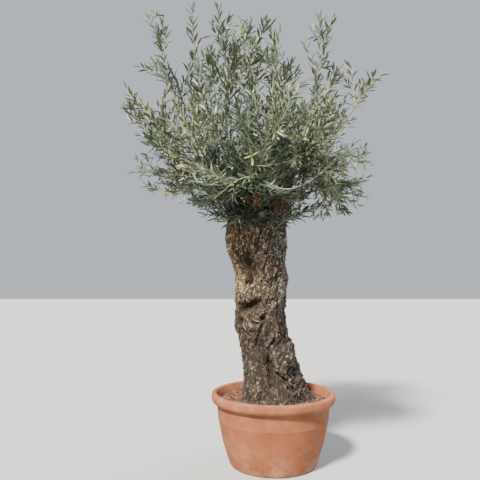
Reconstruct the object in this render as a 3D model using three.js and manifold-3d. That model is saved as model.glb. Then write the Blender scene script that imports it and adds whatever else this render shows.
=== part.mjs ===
// Olive tree: an old gnarled trunk cut back to four short arms, whose knuckles carry
// long leafy shoots, planted in a wide terracotta pot.
// Millimetres, +Z up. The origin is the centre of the pot's flat underside. The tree is
// seen from -Y with +X to the right, and bearings turn from +X towards +Y.
import * as THREE from "three";
import { mergeVertices } from "three/addons/utils/BufferGeometryUtils.js";
import Module from "manifold-3d";

const wasm = await Module();
wasm.setup();

// Driving dimensions
const GAP = 0.4; // clearance between two pieces that meet
const FINEST = 0.02; // detail below this is smoothed away where pieces are joined
const GOLDEN_ANGLE = THREE.MathUtils.degToRad(137.5);
const UP = new THREE.Vector3(0, 0, 1);

const POT = {
  height: 380,
  rimRadius: 331,
  rimBand: 50, // height of the heavy band round the rim
  rimDraft: 9, // how much narrower the band is at its lower edge
  rimRounding: 8,
  lip: 27, // the rim's thickness
  shoulderRadius: 303,
  footRadius: 236,
  footRounding: 8,
  // Shares of the height and of the way from the foot's radius to the shoulder's.
  belly: [
    [0.36, 0.51],
    [0.74, 0.9],
  ],
  wall: 15,
  floor: 22,
  sides: 28,
};

const SOIL = { top: 345, edgeDrop: 9, flatRadius: 250, clearance: 1 };

const TRUNK = {
  foot: SOIL.top + GAP,
  shoulder: 1262,
  fork: 1342,
  waist: 134, // radius of the plain stretch
  headSwelling: 16,
  swellsFrom: 1040,
  swellsTo: 1180,
  flare: 62, // how much the foot is wider than the waist
  flareHeight: 120,
  roots: 5, // lobes of the foot
  rootDepth: 17,
  sides: 28,
  rings: 18,
};

// The trunk's axis leans to -X as it rises: [height, sideways shift].
const TRUNK_LEAN = [
  [345, 12],
  [470, -4],
  [590, -30],
  [740, -66],
  [860, -70],
  [980, -62],
  [1130, -86],
  [1347, -84],
];

// Shallow flutes run up the trunk and wind round it, a turn each `pitch` times 2 pi.
const FLUTES = [
  { count: 4, depth: 6, pitch: 190 },
  { count: 7, depth: 4, pitch: -130 },
];

// Burls stand out of the bark and hollows lie in it. Bearing and width are in degrees,
// height, tall and relief in millimetres.
const BARK_FEATURES = [
  { name: "foot burl", bearing: 301, height: 555, width: 30, tall: 62, relief: 24 },
  { name: "left knob", bearing: 232, height: 760, width: 26, tall: 48, relief: 15 },
  { name: "ledge", bearing: 244, height: 925, width: 24, tall: 24, relief: 14 },
  { name: "head bulge", bearing: 186, height: 1175, width: 40, tall: 60, relief: 13 },
  { name: "right cheek", bearing: 330, height: 1010, width: 32, tall: 90, relief: 9 },
  { name: "back burl", bearing: 82, height: 690, width: 34, tall: 80, relief: 22 },
  { name: "back knob", bearing: 130, height: 1020, width: 26, tall: 60, relief: 16 },
  { name: "overhang", bearing: 246, height: 842, width: 28, tall: 18, relief: -22 },
  { name: "old scar", bearing: 238, height: 1050, width: 17, tall: 62, relief: -20 },
  { name: "foot cleft", bearing: 268, height: 500, width: 8, tall: 95, relief: -26 },
  { name: "back cleft", bearing: 110, height: 860, width: 9, tall: 160, relief: -22 },
  { name: "side hollow", bearing: 20, height: 780, width: 16, tall: 70, relief: -15 },
];

// The stout arms of the cut-back head, each with a knuckle on its end. Below the height
// of ARM_FOOT an arm is part of the trunk.
const ARMS = {
  arm_right: { base: [-6, -22, 1262], tip: [62, -26, 1560], radii: [57, 41], knuckle: 50 },
  arm_left: { base: [-156, -6, 1262], tip: [-222, -10, 1466], radii: [53, 38], knuckle: 47 },
  arm_back: { base: [-80, 76, 1262], tip: [-62, 156, 1504], radii: [51, 38], knuckle: 47 },
  arm_front: { base: [-96, -82, 1262], tip: [-110, -152, 1440], radii: [46, 35], knuckle: 43 },
};
const ARM_FOOT = 1362;
const ARM_SIDES = 8;
const ARM_BOW = 0.06; // how far an arm bows outwards, as a share of its length
const STUB = 14; // how far a cut stub stands out under the shoot that it carries

// The masses of foliage. The leader of each runs from an arm's knuckle to a tip that is
// `reach` from the trunk's axis along `bearing` and `top` above the ground. `spread` is the
// length of its longest shoot, `arch` bows the leader up, and `lift` turns its shoots up.
const HEAD_AXIS = new THREE.Vector2(-85, 0);
const UPRIGHT = { arch: 0, lift: 0.16 };
const ARCHING = { arch: 0.16, lift: -0.02 };
const MASSES = [
  { name: "crown_top", arm: "arm_back", bearing: 118, reach: 90, top: 2370, spread: 230 },
  { name: "crown_left", arm: "arm_left", bearing: 212, reach: 200, top: 2190, spread: 270 },
  { name: "crown_right", arm: "arm_front", bearing: 300, reach: 160, top: 2130, spread: 240 },
  { name: "crown_back", arm: "arm_back", bearing: 58, reach: 300, top: 2110, spread: 270 },
  { name: "whip_left", arm: "arm_left", bearing: 187, reach: 345, top: 2380, spread: 170 },
  { name: "whip_far_left", arm: "arm_left", bearing: 172, reach: 550, top: 2350, spread: 190 },
  { name: "whip_right", arm: "arm_right", bearing: 8, reach: 350, top: 2350, spread: 180 },
  { name: "right", arm: "arm_right", bearing: 350, reach: 570, top: 1970, spread: 280 },
  { name: "right_low", arm: "arm_right", bearing: 10, reach: 450, top: 1440, spread: 250, ...ARCHING },
  { name: "right_front", arm: "arm_right", bearing: 302, reach: 480, top: 1600, spread: 260 },
  { name: "right_back", arm: "arm_right", bearing: 44, reach: 560, top: 1960, spread: 290 },
  { name: "left", arm: "arm_left", bearing: 184, reach: 540, top: 1810, spread: 270 },
  { name: "left_low", arm: "arm_left", bearing: 162, reach: 480, top: 1480, spread: 250, ...ARCHING },
  { name: "left_front", arm: "arm_left", bearing: 228, reach: 480, top: 1680, spread: 270 },
  { name: "front", arm: "arm_front", bearing: 274, reach: 500, top: 1640, spread: 260 },
  { name: "front_low", arm: "arm_front", bearing: 250, reach: 400, top: 1390, spread: 230, ...ARCHING },
  { name: "back", arm: "arm_back", bearing: 90, reach: 570, top: 1930, spread: 290 },
  { name: "back_left", arm: "arm_back", bearing: 138, reach: 570, top: 1950, spread: 290 },
].map((mass) => ({ ...UPRIGHT, ...mass }));

// `splay` flattens a leader's start, and `turn` is how far along it bends to its tip.
const LEADER = { radii: [10, 3.5], steps: 6, sides: 4, sway: 0.04, splay: 2.2, turn: 0.4 };
const SHOOT = { radii: [4.5, 2.4], steps: 2, sides: 3, perMass: 5, firstAt: 0.26, lastAt: 0.95 };
const SHOOT_ANGLE = { low: 1.0, high: 0.6 }; // radians off the leader, at its foot and tip
const LEAF = {
  length: 148,
  width: 40,
  thickness: 3,
  angle: 0.72, // radians off its twig
  perShoot: 3,
  firstOnShoot: 0.3,
  onLeader: 4,
  firstOnLeader: 0.45,
};
const DRAWS = 4; // how often a shoot or a leaf is drawn anew before it is left out
const ROOM = { betweenMasses: 4, besideLimbs: 9 };
const SEEDS = { leaders: 500, foliage: 1000, step: 37 };

// Numbers from 0 to 1 by the Park-Miller rule, so that the tree is the same every time.
function sequence(seed) {
  let state = seed;
  return () => {
    state = (state * 48271) % 2147483647;
    return state / 2147483647;
  };
}

const vector = (list) => new THREE.Vector3(...list);
const between = (a, b, share) => a + (b - a) * share;

function interpolate(table, at) {
  const after = table.findIndex(([place]) => place >= at);
  if (after <= 0) return after === 0 ? table[0][1] : table.at(-1)[1];
  const [lowAt, low] = table[after - 1];
  const [highAt, high] = table[after];
  return between(low, high, (at - lowAt) / (highAt - lowAt));
}

// A closed three.js geometry as a solid, and a solid as a geometry.
function solid(geometry) {
  const bare = geometry.clone();
  bare.deleteAttribute("normal");
  bare.deleteAttribute("uv");
  const merged = mergeVertices(bare, 1e-3);
  return new wasm.Manifold(
    new wasm.Mesh({
      numProp: 3,
      vertProperties: merged.attributes.position.array,
      triVerts: new Uint32Array(merged.index.array),
    }),
  );
}

function geometryOf(manifold) {
  const mesh = manifold.getMesh();
  const geometry = new THREE.BufferGeometry();
  geometry.setAttribute("position", new THREE.BufferAttribute(mesh.vertProperties, 3));
  geometry.setIndex(new THREE.BufferAttribute(mesh.triVerts, 1));
  geometry.computeVertexNormals();
  return geometry;
}

// All pieces as one body. A scrap that the rest doesn't reach is dropped.
function fused(pieces) {
  const bodies = wasm.Manifold.union(pieces).simplify(FINEST).decompose();
  return bodies.reduce((most, body) => (body.volume() > most.volume() ? body : most));
}

// A unit vector square to `along`, turned about it by `angle`.
function square(along, angle = 0) {
  const reference = Math.abs(along.z) > 0.95 ? new THREE.Vector3(1, 0, 0) : UP;
  return new THREE.Vector3().crossVectors(along, reference).normalize().applyAxisAngle(along, angle);
}

// A tapering tube through the points: a cylinder whose rings are moved onto them.
function tube(points, radii, sides) {
  const steps = points.length - 1;
  const geometry = new THREE.CylinderGeometry(1, 1, steps, sides, steps);
  const rings = [];
  let side = null;
  points.forEach((point, i) => {
    const along = points[Math.min(i + 1, steps)].clone().sub(points[Math.max(i - 1, 0)]).normalize();
    side = side ? side.addScaledVector(along, -side.dot(along)).normalize() : square(along);
    rings.push({ point, side: side.clone(), other: new THREE.Vector3().crossVectors(along, side) });
  });
  const position = geometry.attributes.position;
  for (let i = 0; i < position.count; i++) {
    const level = Math.round(position.getY(i) + steps / 2);
    const { point, side: x, other: y } = rings[level];
    const radius = between(radii[0], radii[1], level / steps);
    const moved = point.clone();
    moved.addScaledVector(x, position.getZ(i) * radius).addScaledVector(y, position.getX(i) * radius);
    position.setXYZ(i, ...moved);
  }
  return geometry;
}

// A turned shape about the Z axis from [radius, height] pairs that start and end on it.
function turned(profile, sides) {
  const points = profile.map(([radius, height]) => new THREE.Vector2(radius, height));
  return new THREE.LatheGeometry(points, sides).rotateX(Math.PI / 2);
}

// The pot's outside leans out from the foot to the shoulder, under the rim's band.
function potOutside() {
  const shoulder = POT.height - POT.rimBand;
  const radiusAt = (out) => between(POT.footRadius, POT.shoulderRadius, out);
  const belly = POT.belly.map(([up, out]) => [radiusAt(out), shoulder * up]);
  return [[POT.footRadius, POT.footRounding], ...belly, [POT.shoulderRadius, shoulder]];
}

// The wall's inner face, from the floor to the lip.
function potInside() {
  const sides = potOutside().slice(1);
  return [
    [POT.footRadius - POT.wall, POT.floor],
    ...sides.map(([radius, height]) => [radius - POT.wall, height]),
    [POT.rimRadius - POT.lip, POT.height],
  ];
}

function pot() {
  const profile = [
    [0, 0],
    [POT.footRadius - POT.footRounding, 0],
    ...potOutside(),
    [POT.rimRadius - POT.rimDraft, POT.height - POT.rimBand],
    [POT.rimRadius, POT.height - POT.rimBand * 0.75],
    [POT.rimRadius, POT.height - POT.rimRounding],
    [POT.rimRadius - POT.rimRounding, POT.height],
    ...potInside().reverse(),
    [0, POT.floor],
  ];
  return solid(turned(profile, POT.sides));
}

// The soil fills the pot and falls a little towards its wall.
function soil() {
  const wall = potInside();
  const byHeight = wall.map(([radius, height]) => [height, radius]);
  const edge = SOIL.top - SOIL.edgeDrop;
  const bottom = POT.floor + SOIL.clearance;
  const bends = wall.map(([, height]) => height).filter((height) => height > bottom && height < edge);
  const heights = [bottom, ...bends, edge];
  const profile = [
    [0, bottom],
    ...heights.map((height) => [interpolate(byHeight, height) - SOIL.clearance, height]),
    [SOIL.flatRadius, SOIL.top],
    [0, SOIL.top],
  ];
  return solid(turned(profile, POT.sides));
}

// The bark's radius at a bearing and a height: the taper, five root lobes that fade
// upwards, shallow twisting flutes, and the burls and hollows.
function barkRadius(bearing, height) {
  const above = height - TRUNK.foot;
  const flare = Math.exp(-above / TRUNK.flareHeight);
  const swelling = THREE.MathUtils.smoothstep(height, TRUNK.swellsFrom, TRUNK.swellsTo);
  let radius = TRUNK.waist + TRUNK.flare * flare + TRUNK.headSwelling * swelling;
  radius += TRUNK.rootDepth * flare * Math.cos(TRUNK.roots * bearing + 0.6);
  for (const flute of FLUTES) radius += flute.depth * Math.cos(flute.count * bearing + height / flute.pitch);
  for (const feature of BARK_FEATURES) {
    const turn = bearing - THREE.MathUtils.degToRad(feature.bearing);
    const round = Math.atan2(Math.sin(turn), Math.cos(turn)) / THREE.MathUtils.degToRad(feature.width);
    const tall = (height - feature.height) / feature.tall;
    radius += feature.relief * Math.exp(-round * round - tall * tall);
  }
  return radius;
}

// The trunk is a turned cylinder whose points are moved out to the bark. Its flat foot
// stays flat, and its head closes in a low dome.
function trunk() {
  const levels = Array.from({ length: TRUNK.rings + 1 }, (_, i) =>
    between(TRUNK.foot, TRUNK.shoulder, (i / TRUNK.rings) ** 1.15),
  );
  const dome = [25, 50, 72].map((degrees) => {
    const turn = THREE.MathUtils.degToRad(degrees);
    return [Math.cos(turn), between(TRUNK.shoulder, TRUNK.fork, Math.sin(turn))];
  });
  const profile = [[0, TRUNK.foot], ...levels.map((height) => [1, height]), ...dome, [0, TRUNK.fork]];
  const geometry = turned(profile, TRUNK.sides);
  const position = geometry.attributes.position;
  for (let i = 0; i < position.count; i++) {
    const [x, y, height] = [position.getX(i), position.getY(i), position.getZ(i)];
    const radius = barkRadius(Math.atan2(y, x), Math.min(height, TRUNK.shoulder));
    position.setXY(i, x * radius + interpolate(TRUNK_LEAN, height), y * radius);
  }
  const stumps = Object.values(ARMS).map((spec) => {
    const { heading, offset } = armCut(spec);
    return solid(armTube(spec)).trimByPlane(heading.clone().negate().toArray(), -offset);
  });
  return fused([solid(geometry), ...stumps]);
}

// An arm's line bows outwards a little between its base and its tip.
function armPoint(spec, share) {
  const [base, tip] = [vector(spec.base), vector(spec.tip)];
  const outward = new THREE.Vector3(base.x - HEAD_AXIS.x, base.y - HEAD_AXIS.y, 0).normalize();
  const bow = ARM_BOW * base.distanceTo(tip) * 4 * share * (1 - share);
  return base.lerp(tip, share).addScaledVector(outward, bow);
}

function armTube(spec) {
  const shares = [-0.3, 0.25, 0.6, 1];
  return tube(shares.map((share) => armPoint(spec, share)), spec.radii, ARM_SIDES);
}

// The plane across an arm where the trunk ends and the arm begins.
function armCut(spec) {
  const share = (ARM_FOOT - spec.base[2]) / (spec.tip[2] - spec.base[2]);
  const point = armPoint(spec, share);
  const heading = armPoint(spec, share + 0.05).sub(point).normalize();
  return { heading, offset: heading.dot(point) };
}

function arm(name, leaders) {
  const spec = ARMS[name];
  const { heading, offset } = armCut(spec);
  const limb = solid(armTube(spec)).trimByPlane(heading.toArray(), offset + GAP);
  const knuckle = new THREE.SphereGeometry(spec.knuckle, ARM_SIDES, 5).translate(...spec.tip);
  const stubs = leaders.filter((_, i) => MASSES[i].arm === name).map(([first, second]) => {
    const aim = second.clone().sub(first).normalize();
    const [inner, end] = [STUB, GAP].map((back) => first.clone().addScaledVector(aim, -back));
    const points = [vector(spec.tip), inner, end];
    return solid(tube(points, [LEADER.radii[0] * 1.8, LEADER.radii[0] * 1.1], LEADER.sides));
  });
  return fused([limb, solid(knuckle), ...stubs]);
}

// Where a mass's leader starts and which way it sets off: flatter than its tip lies, so
// that the leaders of a knuckle stand well apart at their feet.
function launch(mass) {
  const centre = vector(ARMS[mass.arm].tip);
  const bearing = THREE.MathUtils.degToRad(mass.bearing);
  const tip = new THREE.Vector3(
    HEAD_AXIS.x + mass.reach * Math.cos(bearing),
    HEAD_AXIS.y + mass.reach * Math.sin(bearing),
    mass.top,
  );
  const splay = new THREE.Vector3(LEADER.splay, LEADER.splay, 1);
  const aim = tip.clone().sub(centre).multiply(splay).normalize();
  return { foot: centre.addScaledVector(aim, ARMS[mass.arm].knuckle + STUB), aim, tip };
}

function leaderPath(mass, random) {
  const { foot, aim, tip } = launch(mass);
  const span = foot.distanceTo(tip);
  const control = foot.clone().addScaledVector(aim, span * LEADER.turn);
  control.addScaledVector(UP, span * mass.arch);
  control.addScaledVector(square(aim, random() * 2 * Math.PI), span * LEADER.sway);
  const curve = new THREE.QuadraticBezierCurve3(foot, control, tip);
  return Array.from({ length: LEADER.steps + 1 }, (_, i) => curve.getPoint(i / LEADER.steps));
}

// A point on a line of points and the direction there, at a share of its steps.
function along(points, share) {
  const steps = points.length - 1;
  const i = Math.min(Math.floor(share * steps), steps - 1);
  const point = points[i].clone().lerp(points[i + 1], share * steps - i);
  return { point, heading: points[i + 1].clone().sub(points[i]).normalize() };
}

// A shoot that branches off a leader: a short line of points that turns upwards.
function shootPath(mass, leader, index, random) {
  const share = between(SHOOT.firstAt, SHOOT.lastAt, (index + 0.7 * random()) / SHOOT.perMass);
  const { point, heading } = along(leader, share);
  const angle = between(SHOOT_ANGLE.low, SHOOT_ANGLE.high, share);
  const side = square(heading, index * GOLDEN_ANGLE + 2 * random());
  const length = mass.spread * (1 - 0.55 * share) * (0.75 + 0.5 * random());
  const direction = heading.clone().multiplyScalar(Math.cos(angle)).addScaledVector(side, Math.sin(angle));
  const points = [point];
  for (let step = 0; step < SHOOT.steps; step++) {
    direction.addScaledVector(UP, mass.lift).normalize();
    points.push(points[step].clone().addScaledVector(direction, length / SHOOT.steps));
  }
  return points;
}

// Distance from a point to a line of points.
function distanceTo(points, point) {
  const nearest = new THREE.Vector3();
  let least = Infinity;
  for (let i = 0; i + 1 < points.length; i++) {
    new THREE.Line3(points[i], points[i + 1]).closestPointToPoint(point, true, nearest);
    least = Math.min(least, nearest.distanceTo(point));
  }
  return least;
}

// A mass's space is what lies nearer to its leader than to any other, clear of the limbs.
function keepsToItsSpace(points, own, leaders) {
  return points.every((point) => {
    const home = distanceTo(leaders[own], point);
    const clearOfMasses = leaders.every((leader, i) => {
      if (i === own) return true;
      const away = distanceTo(leader, point);
      return away > home + ROOM.betweenMasses && away > LEADER.radii[0] + ROOM.besideLimbs;
    });
    return clearOfMasses && clearOfLimbs(point);
  });
}

function clearOfLimbs(point) {
  const clearOfArms = Object.values(ARMS).every((spec) => {
    const line = [armPoint(spec, 0), armPoint(spec, 0.5), armPoint(spec, 1)];
    return distanceTo(line, point) > spec.radii[0] + ROOM.besideLimbs + STUB;
  });
  const fromAxis = Math.hypot(point.x - HEAD_AXIS.x, point.y - HEAD_AXIS.y);
  const clearOfTrunk = point.z > TRUNK.fork + ROOM.besideLimbs || fromAxis > TRUNK.waist * 1.4;
  return clearOfArms && clearOfTrunk;
}

// A leaf is a flat long octahedron whose root lies inside its twig.
function leaf({ root, heading, across, length }) {
  const normal = new THREE.Vector3().crossVectors(across, heading);
  const turn = new THREE.Matrix4().makeBasis(across, heading, normal);
  const middle = root.clone().addScaledVector(heading, length / 2 - SHOOT.radii[1]);
  const geometry = new THREE.OctahedronGeometry(1).scale(LEAF.width / 2, length / 2, LEAF.thickness / 2);
  return geometry.applyMatrix4(turn.setPosition(middle));
}

// The points of a leaf that are tested against its neighbours.
function leafPoints({ root, heading, across, length }) {
  const at = (share, side) =>
    root.clone().addScaledVector(heading, length * share).addScaledVector(across, (side * LEAF.width) / 2);
  return [at(0.25, 0), at(0.5, -1), at(0.5, 1), at(1, 0)];
}

// The leaf that ends a twig.
function lastLeaf(points, random) {
  const { point, heading } = along(points, 1);
  return { root: point, heading, across: square(heading, 6 * random()), length: 0.8 * LEAF.length };
}

// One of the leaves along a twig, which leave it on all sides in turn.
function sideLeaf(points, index, count, first, random) {
  const { point, heading } = along(points, between(first, 0.95, (index + random()) / count));
  const side = square(heading, index * GOLDEN_ANGLE + 2 * random());
  const direction = heading.clone().multiplyScalar(Math.cos(LEAF.angle));
  direction.addScaledVector(side, Math.sin(LEAF.angle)).normalize();
  const across = new THREE.Vector3().crossVectors(direction, side).normalize();
  return { root: point, heading: direction, across, length: (0.85 + 0.35 * random()) * LEAF.length };
}

// The first of a few draws that fits, or nothing.
function firstFit(draw, fits) {
  for (let i = 0; i < DRAWS; i++) {
    const drawn = draw();
    if (fits(drawn)) return [drawn];
  }
  return [];
}

// A mass of foliage as one solid: the leader, and the shoots and leaves that fit in its
// space. What fits nowhere is skipped.
function foliage(mass, index, leaders) {
  const random = sequence(SEEDS.foliage + SEEDS.step * index);
  const leader = leaders[index];
  const inside = (points) => keepsToItsSpace(points, index, leaders);
  const leafFits = (drawn) => inside(leafPoints(drawn));
  const numbers = (count) => [...Array(count).keys()];
  const shoots = numbers(SHOOT.perMass).flatMap((i) =>
    firstFit(() => shootPath(mass, leader, i, random), (points) => inside(points.slice(1))),
  );
  const twigs = [
    { points: leader, count: LEAF.onLeader, first: LEAF.firstOnLeader },
    ...shoots.map((points) => ({ points, count: LEAF.perShoot, first: LEAF.firstOnShoot })),
  ];
  const leaves = twigs.flatMap(({ points, count, first }) => [
    ...firstFit(() => lastLeaf(points, random), leafFits),
    ...numbers(count).flatMap((i) => firstFit(() => sideLeaf(points, i, count, first, random), leafFits)),
  ]);
  const pieces = [
    tube(leader, LEADER.radii, LEADER.sides),
    ...shoots.map((points) => tube(points, SHOOT.radii, SHOOT.sides)),
    ...leaves.map(leaf),
  ];
  return fused(pieces.map(solid));
}

const finish = (color, roughness) => new THREE.MeshStandardMaterial({ color, roughness, metalness: 0 });
const terracotta = finish(0xc27a58, 0.85);
const mulch = finish(0x4a2f22, 0.95);
const bark = finish(0x8c7660, 0.92);
const leafGreen = finish(0x75805c, 0.6);

const tree = new THREE.Group();
function add(name, manifold, material) {
  const mesh = new THREE.Mesh(geometryOf(manifold), material);
  mesh.name = name;
  tree.add(mesh);
}

add("pot", pot(), terracotta);
add("soil", soil(), mulch);
add("trunk", trunk(), bark);
const leaders = MASSES.map((mass, i) => leaderPath(mass, sequence(SEEDS.leaders + SEEDS.step * i)));
Object.keys(ARMS).forEach((name) => add(name, arm(name, leaders), bark));
MASSES.forEach((mass, i) => add("foliage_" + mass.name, foliage(mass, i, leaders), leafGreen));

export default tree;
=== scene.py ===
"""An old olive tree in a terracotta pot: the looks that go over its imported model."""
import math

import bmesh
import bpy
import numpy as np
from bpy.props import FloatProperty, FloatVectorProperty, IntProperty, PointerProperty
from mathutils import Euler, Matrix, Quaternion, Vector, noise


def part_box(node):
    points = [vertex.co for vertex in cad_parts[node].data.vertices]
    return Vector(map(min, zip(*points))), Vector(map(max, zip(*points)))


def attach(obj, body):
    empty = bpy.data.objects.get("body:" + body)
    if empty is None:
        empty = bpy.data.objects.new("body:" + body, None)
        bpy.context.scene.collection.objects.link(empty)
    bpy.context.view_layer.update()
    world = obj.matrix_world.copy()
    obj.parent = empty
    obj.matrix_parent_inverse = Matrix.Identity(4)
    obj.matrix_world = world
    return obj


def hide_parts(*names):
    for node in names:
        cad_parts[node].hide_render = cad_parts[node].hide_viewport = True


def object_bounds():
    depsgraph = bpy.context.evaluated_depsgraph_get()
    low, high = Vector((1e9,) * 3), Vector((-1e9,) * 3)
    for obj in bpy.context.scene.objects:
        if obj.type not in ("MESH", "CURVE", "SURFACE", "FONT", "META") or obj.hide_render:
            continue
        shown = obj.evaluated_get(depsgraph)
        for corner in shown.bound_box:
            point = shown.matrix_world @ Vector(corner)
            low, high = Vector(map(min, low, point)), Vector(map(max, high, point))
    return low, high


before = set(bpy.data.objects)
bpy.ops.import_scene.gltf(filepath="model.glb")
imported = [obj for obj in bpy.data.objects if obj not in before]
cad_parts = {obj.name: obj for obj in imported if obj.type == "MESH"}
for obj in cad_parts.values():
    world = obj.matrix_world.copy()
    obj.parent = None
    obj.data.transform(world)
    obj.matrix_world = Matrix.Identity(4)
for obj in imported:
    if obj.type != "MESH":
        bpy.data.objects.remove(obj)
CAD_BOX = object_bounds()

bl_info = {
    "name": "Potted olive tree",
    "version": (1, 0, 0),
    "blender": (4, 5, 0),
    "location": "3D View > Sidebar > Olive",
    "description": "Dresses the packed olive tree in bark, shoots, leaves, soil and terracotta",
    "category": "Add Mesh",
}

BODY = "root"
UP = Vector((0, 0, 1))
GOLDEN_ANGLE = math.radians(137.5)
MERGED = 1e-6

# The source's sizes, in metres
GAP = 0.0004
POT_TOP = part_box("pot")[1][2]
RIM_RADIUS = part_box("pot")[1][0]
RIM_BAND = 0.050
RIM_DRAFT = 0.009
RIM_ROUNDING = 0.008
LIP = 0.027
SHOULDER_RADIUS = 0.303
FOOT_RADIUS = 0.236
FOOT_ROUNDING = 0.008
BELLY = ((0.36, 0.51), (0.74, 0.90))
WALL = 0.015
POT_FLOOR = 0.022
SOIL_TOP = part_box("soil")[1][2]
SOIL_EDGE_DROP = 0.009
SOIL_FLAT_RADIUS = 0.250
SOIL_CLEARANCE = 0.001

TRUNK_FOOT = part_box("trunk")[0][2]
TRUNK_SHOULDER = 1.262
TRUNK_FORK = 1.342
TRUNK_WAIST = 0.134
HEAD_SWELLING = 0.016
SWELLS_FROM = 1.040
SWELLS_TO = 1.180
FLARE = 0.062
FLARE_HEIGHT = 0.120
ROOTS = 5
ROOT_DEPTH = 0.017
LEAN_HEIGHTS = (0.345, 0.470, 0.590, 0.740, 0.860, 0.980, 1.130, 1.347)
LEAN_SHIFTS = (0.012, -0.004, -0.030, -0.066, -0.070, -0.062, -0.086, -0.084)
FLUTES = ((4, 0.006, 0.190), (7, 0.004, -0.130))

# The finished pot: rounded corners, and how the clay is dented and ridged from the throwing
POT_CORNERS = 0.006
DENTED_FROM = {"axis": 0.05, "floor": 0.002}
DENTS = {"depth": 0.0012, "scale": 6}
THROWING_RIDGES = {"depth": 0.0004, "scale": 420}

# The finished soil, and the chips of the mulch with their length, width, thickness and seed
SOIL_MESH = {"sides": 120, "rings": 34, "levels": 8}
SOIL_LUMPS = {"scale": 30, "height": 0.0045, "sunk": 0.003}
MULCH = {"inner_radius": 0.13, "off_the_wall": 0.022, "rings": 16, "sides": 64, "lift": 0.001}
CHIPS = {
    "long_chip": (0.034, 0.013, 0.005, 71),
    "broad_chip": (0.022, 0.018, 0.005, 72),
    "splinter": (0.026, 0.006, 0.004, 73),
}
CHIP_SPREAD = {"Smallest": 0.55, "Largest": 1.3, "Tilt": 0.38}

# Burls and hollows of the source: bearing and width in degrees, then height, tall, relief
BARK_FORMS = {
    "foot burl": (301, 30, 0.555, 0.062, 0.024),
    "left knob": (232, 26, 0.760, 0.048, 0.015),
    "ledge": (244, 24, 0.925, 0.024, 0.014),
    "head bulge": (186, 40, 1.175, 0.060, 0.013),
    "right cheek": (330, 32, 1.010, 0.090, 0.009),
    "back burl": (82, 34, 0.690, 0.080, 0.022),
    "back knob": (130, 26, 1.020, 0.060, 0.016),
    "overhang": (246, 28, 0.842, 0.018, -0.022),
    "old scar": (238, 17, 1.050, 0.062, -0.020),
    "foot cleft": (268, 8, 0.500, 0.095, -0.026),
    "back cleft": (110, 9, 0.860, 0.160, -0.022),
    "side hollow": (20, 16, 0.780, 0.070, -0.015),
}

# Smaller forms that only the bark's mesh shows, in the same numbers
BARK_DETAILS = {
    "front plate": (272, 14, 1.145, 0.075, 0.011),
    "upper hollow": (238, 10, 1.095, 0.040, -0.012),
    "left low bump": (200, 10, 1.098, 0.018, 0.010),
    "left high bump": (198, 11, 1.145, 0.018, 0.010),
    "scar hole": (242, 5, 0.983, 0.018, -0.024),
    "scar tongue": (229, 7, 0.986, 0.013, 0.014),
    "scar ledge": (236, 15, 0.962, 0.006, -0.011),
    "brow": (232, 16, 0.912, 0.026, 0.008),
    "overhang left": (222, 14, 0.836, 0.015, -0.018),
    "overhang right": (252, 10, 0.854, 0.010, -0.013),
    "left knot hole": (225, 6.5, 0.764, 0.017, -0.040),
    "middle knot hole": (273, 5.5, 0.780, 0.015, -0.030),
    "middle knot ring": (273, 12, 0.772, 0.032, 0.009),
    "swirl lump": (246, 25, 0.732, 0.070, 0.018),
    "burl cap": (303, 17, 0.560, 0.044, 0.013),
    "burl knot": (283, 6, 0.612, 0.016, 0.010),
    "burl top edge": (306, 20, 0.650, 0.012, -0.010),
    "low left lobe": (222, 14, 0.540, 0.060, 0.009),
    "right strand": (318, 5, 0.890, 0.080, 0.008),
    "right hollow": (300, 7, 1.090, 0.030, -0.010),
    "right knob": (344, 14, 0.640, 0.030, 0.010),
    "right high knob": (352, 12, 1.150, 0.030, 0.010),
    "back hollow": (60, 12, 1.060, 0.055, -0.018),
    "back hollow rim": (60, 24, 1.060, 0.085, 0.009),
    "back lump": (150, 18, 0.560, 0.050, 0.016),
    "back ledge": (40, 20, 0.900, 0.008, -0.012),
    "side knob": (172, 12, 0.800, 0.030, 0.012),
    "side hole": (176, 5, 0.930, 0.016, -0.020),
}

# Where the bark's grain winds round a form: bearing, height, reach, and turn in degrees
SWIRLS = (
    (300, 0.572, 0.075, 70),
    (250, 0.730, 0.060, -35),
    (216, 0.768, 0.032, 110),
    (272, 0.768, 0.036, -105),
    (190, 1.170, 0.060, 65),
    (240, 1.050, 0.052, -60),
    (330, 0.960, 0.070, 55),
    (344, 0.640, 0.040, -85),
    (82, 0.690, 0.085, 110),
    (130, 1.020, 0.062, -90),
    (60, 1.060, 0.070, 80),
    (150, 0.560, 0.060, 85),
    (172, 0.800, 0.045, -90),
    (20, 0.780, 0.060, 60),
)

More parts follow.
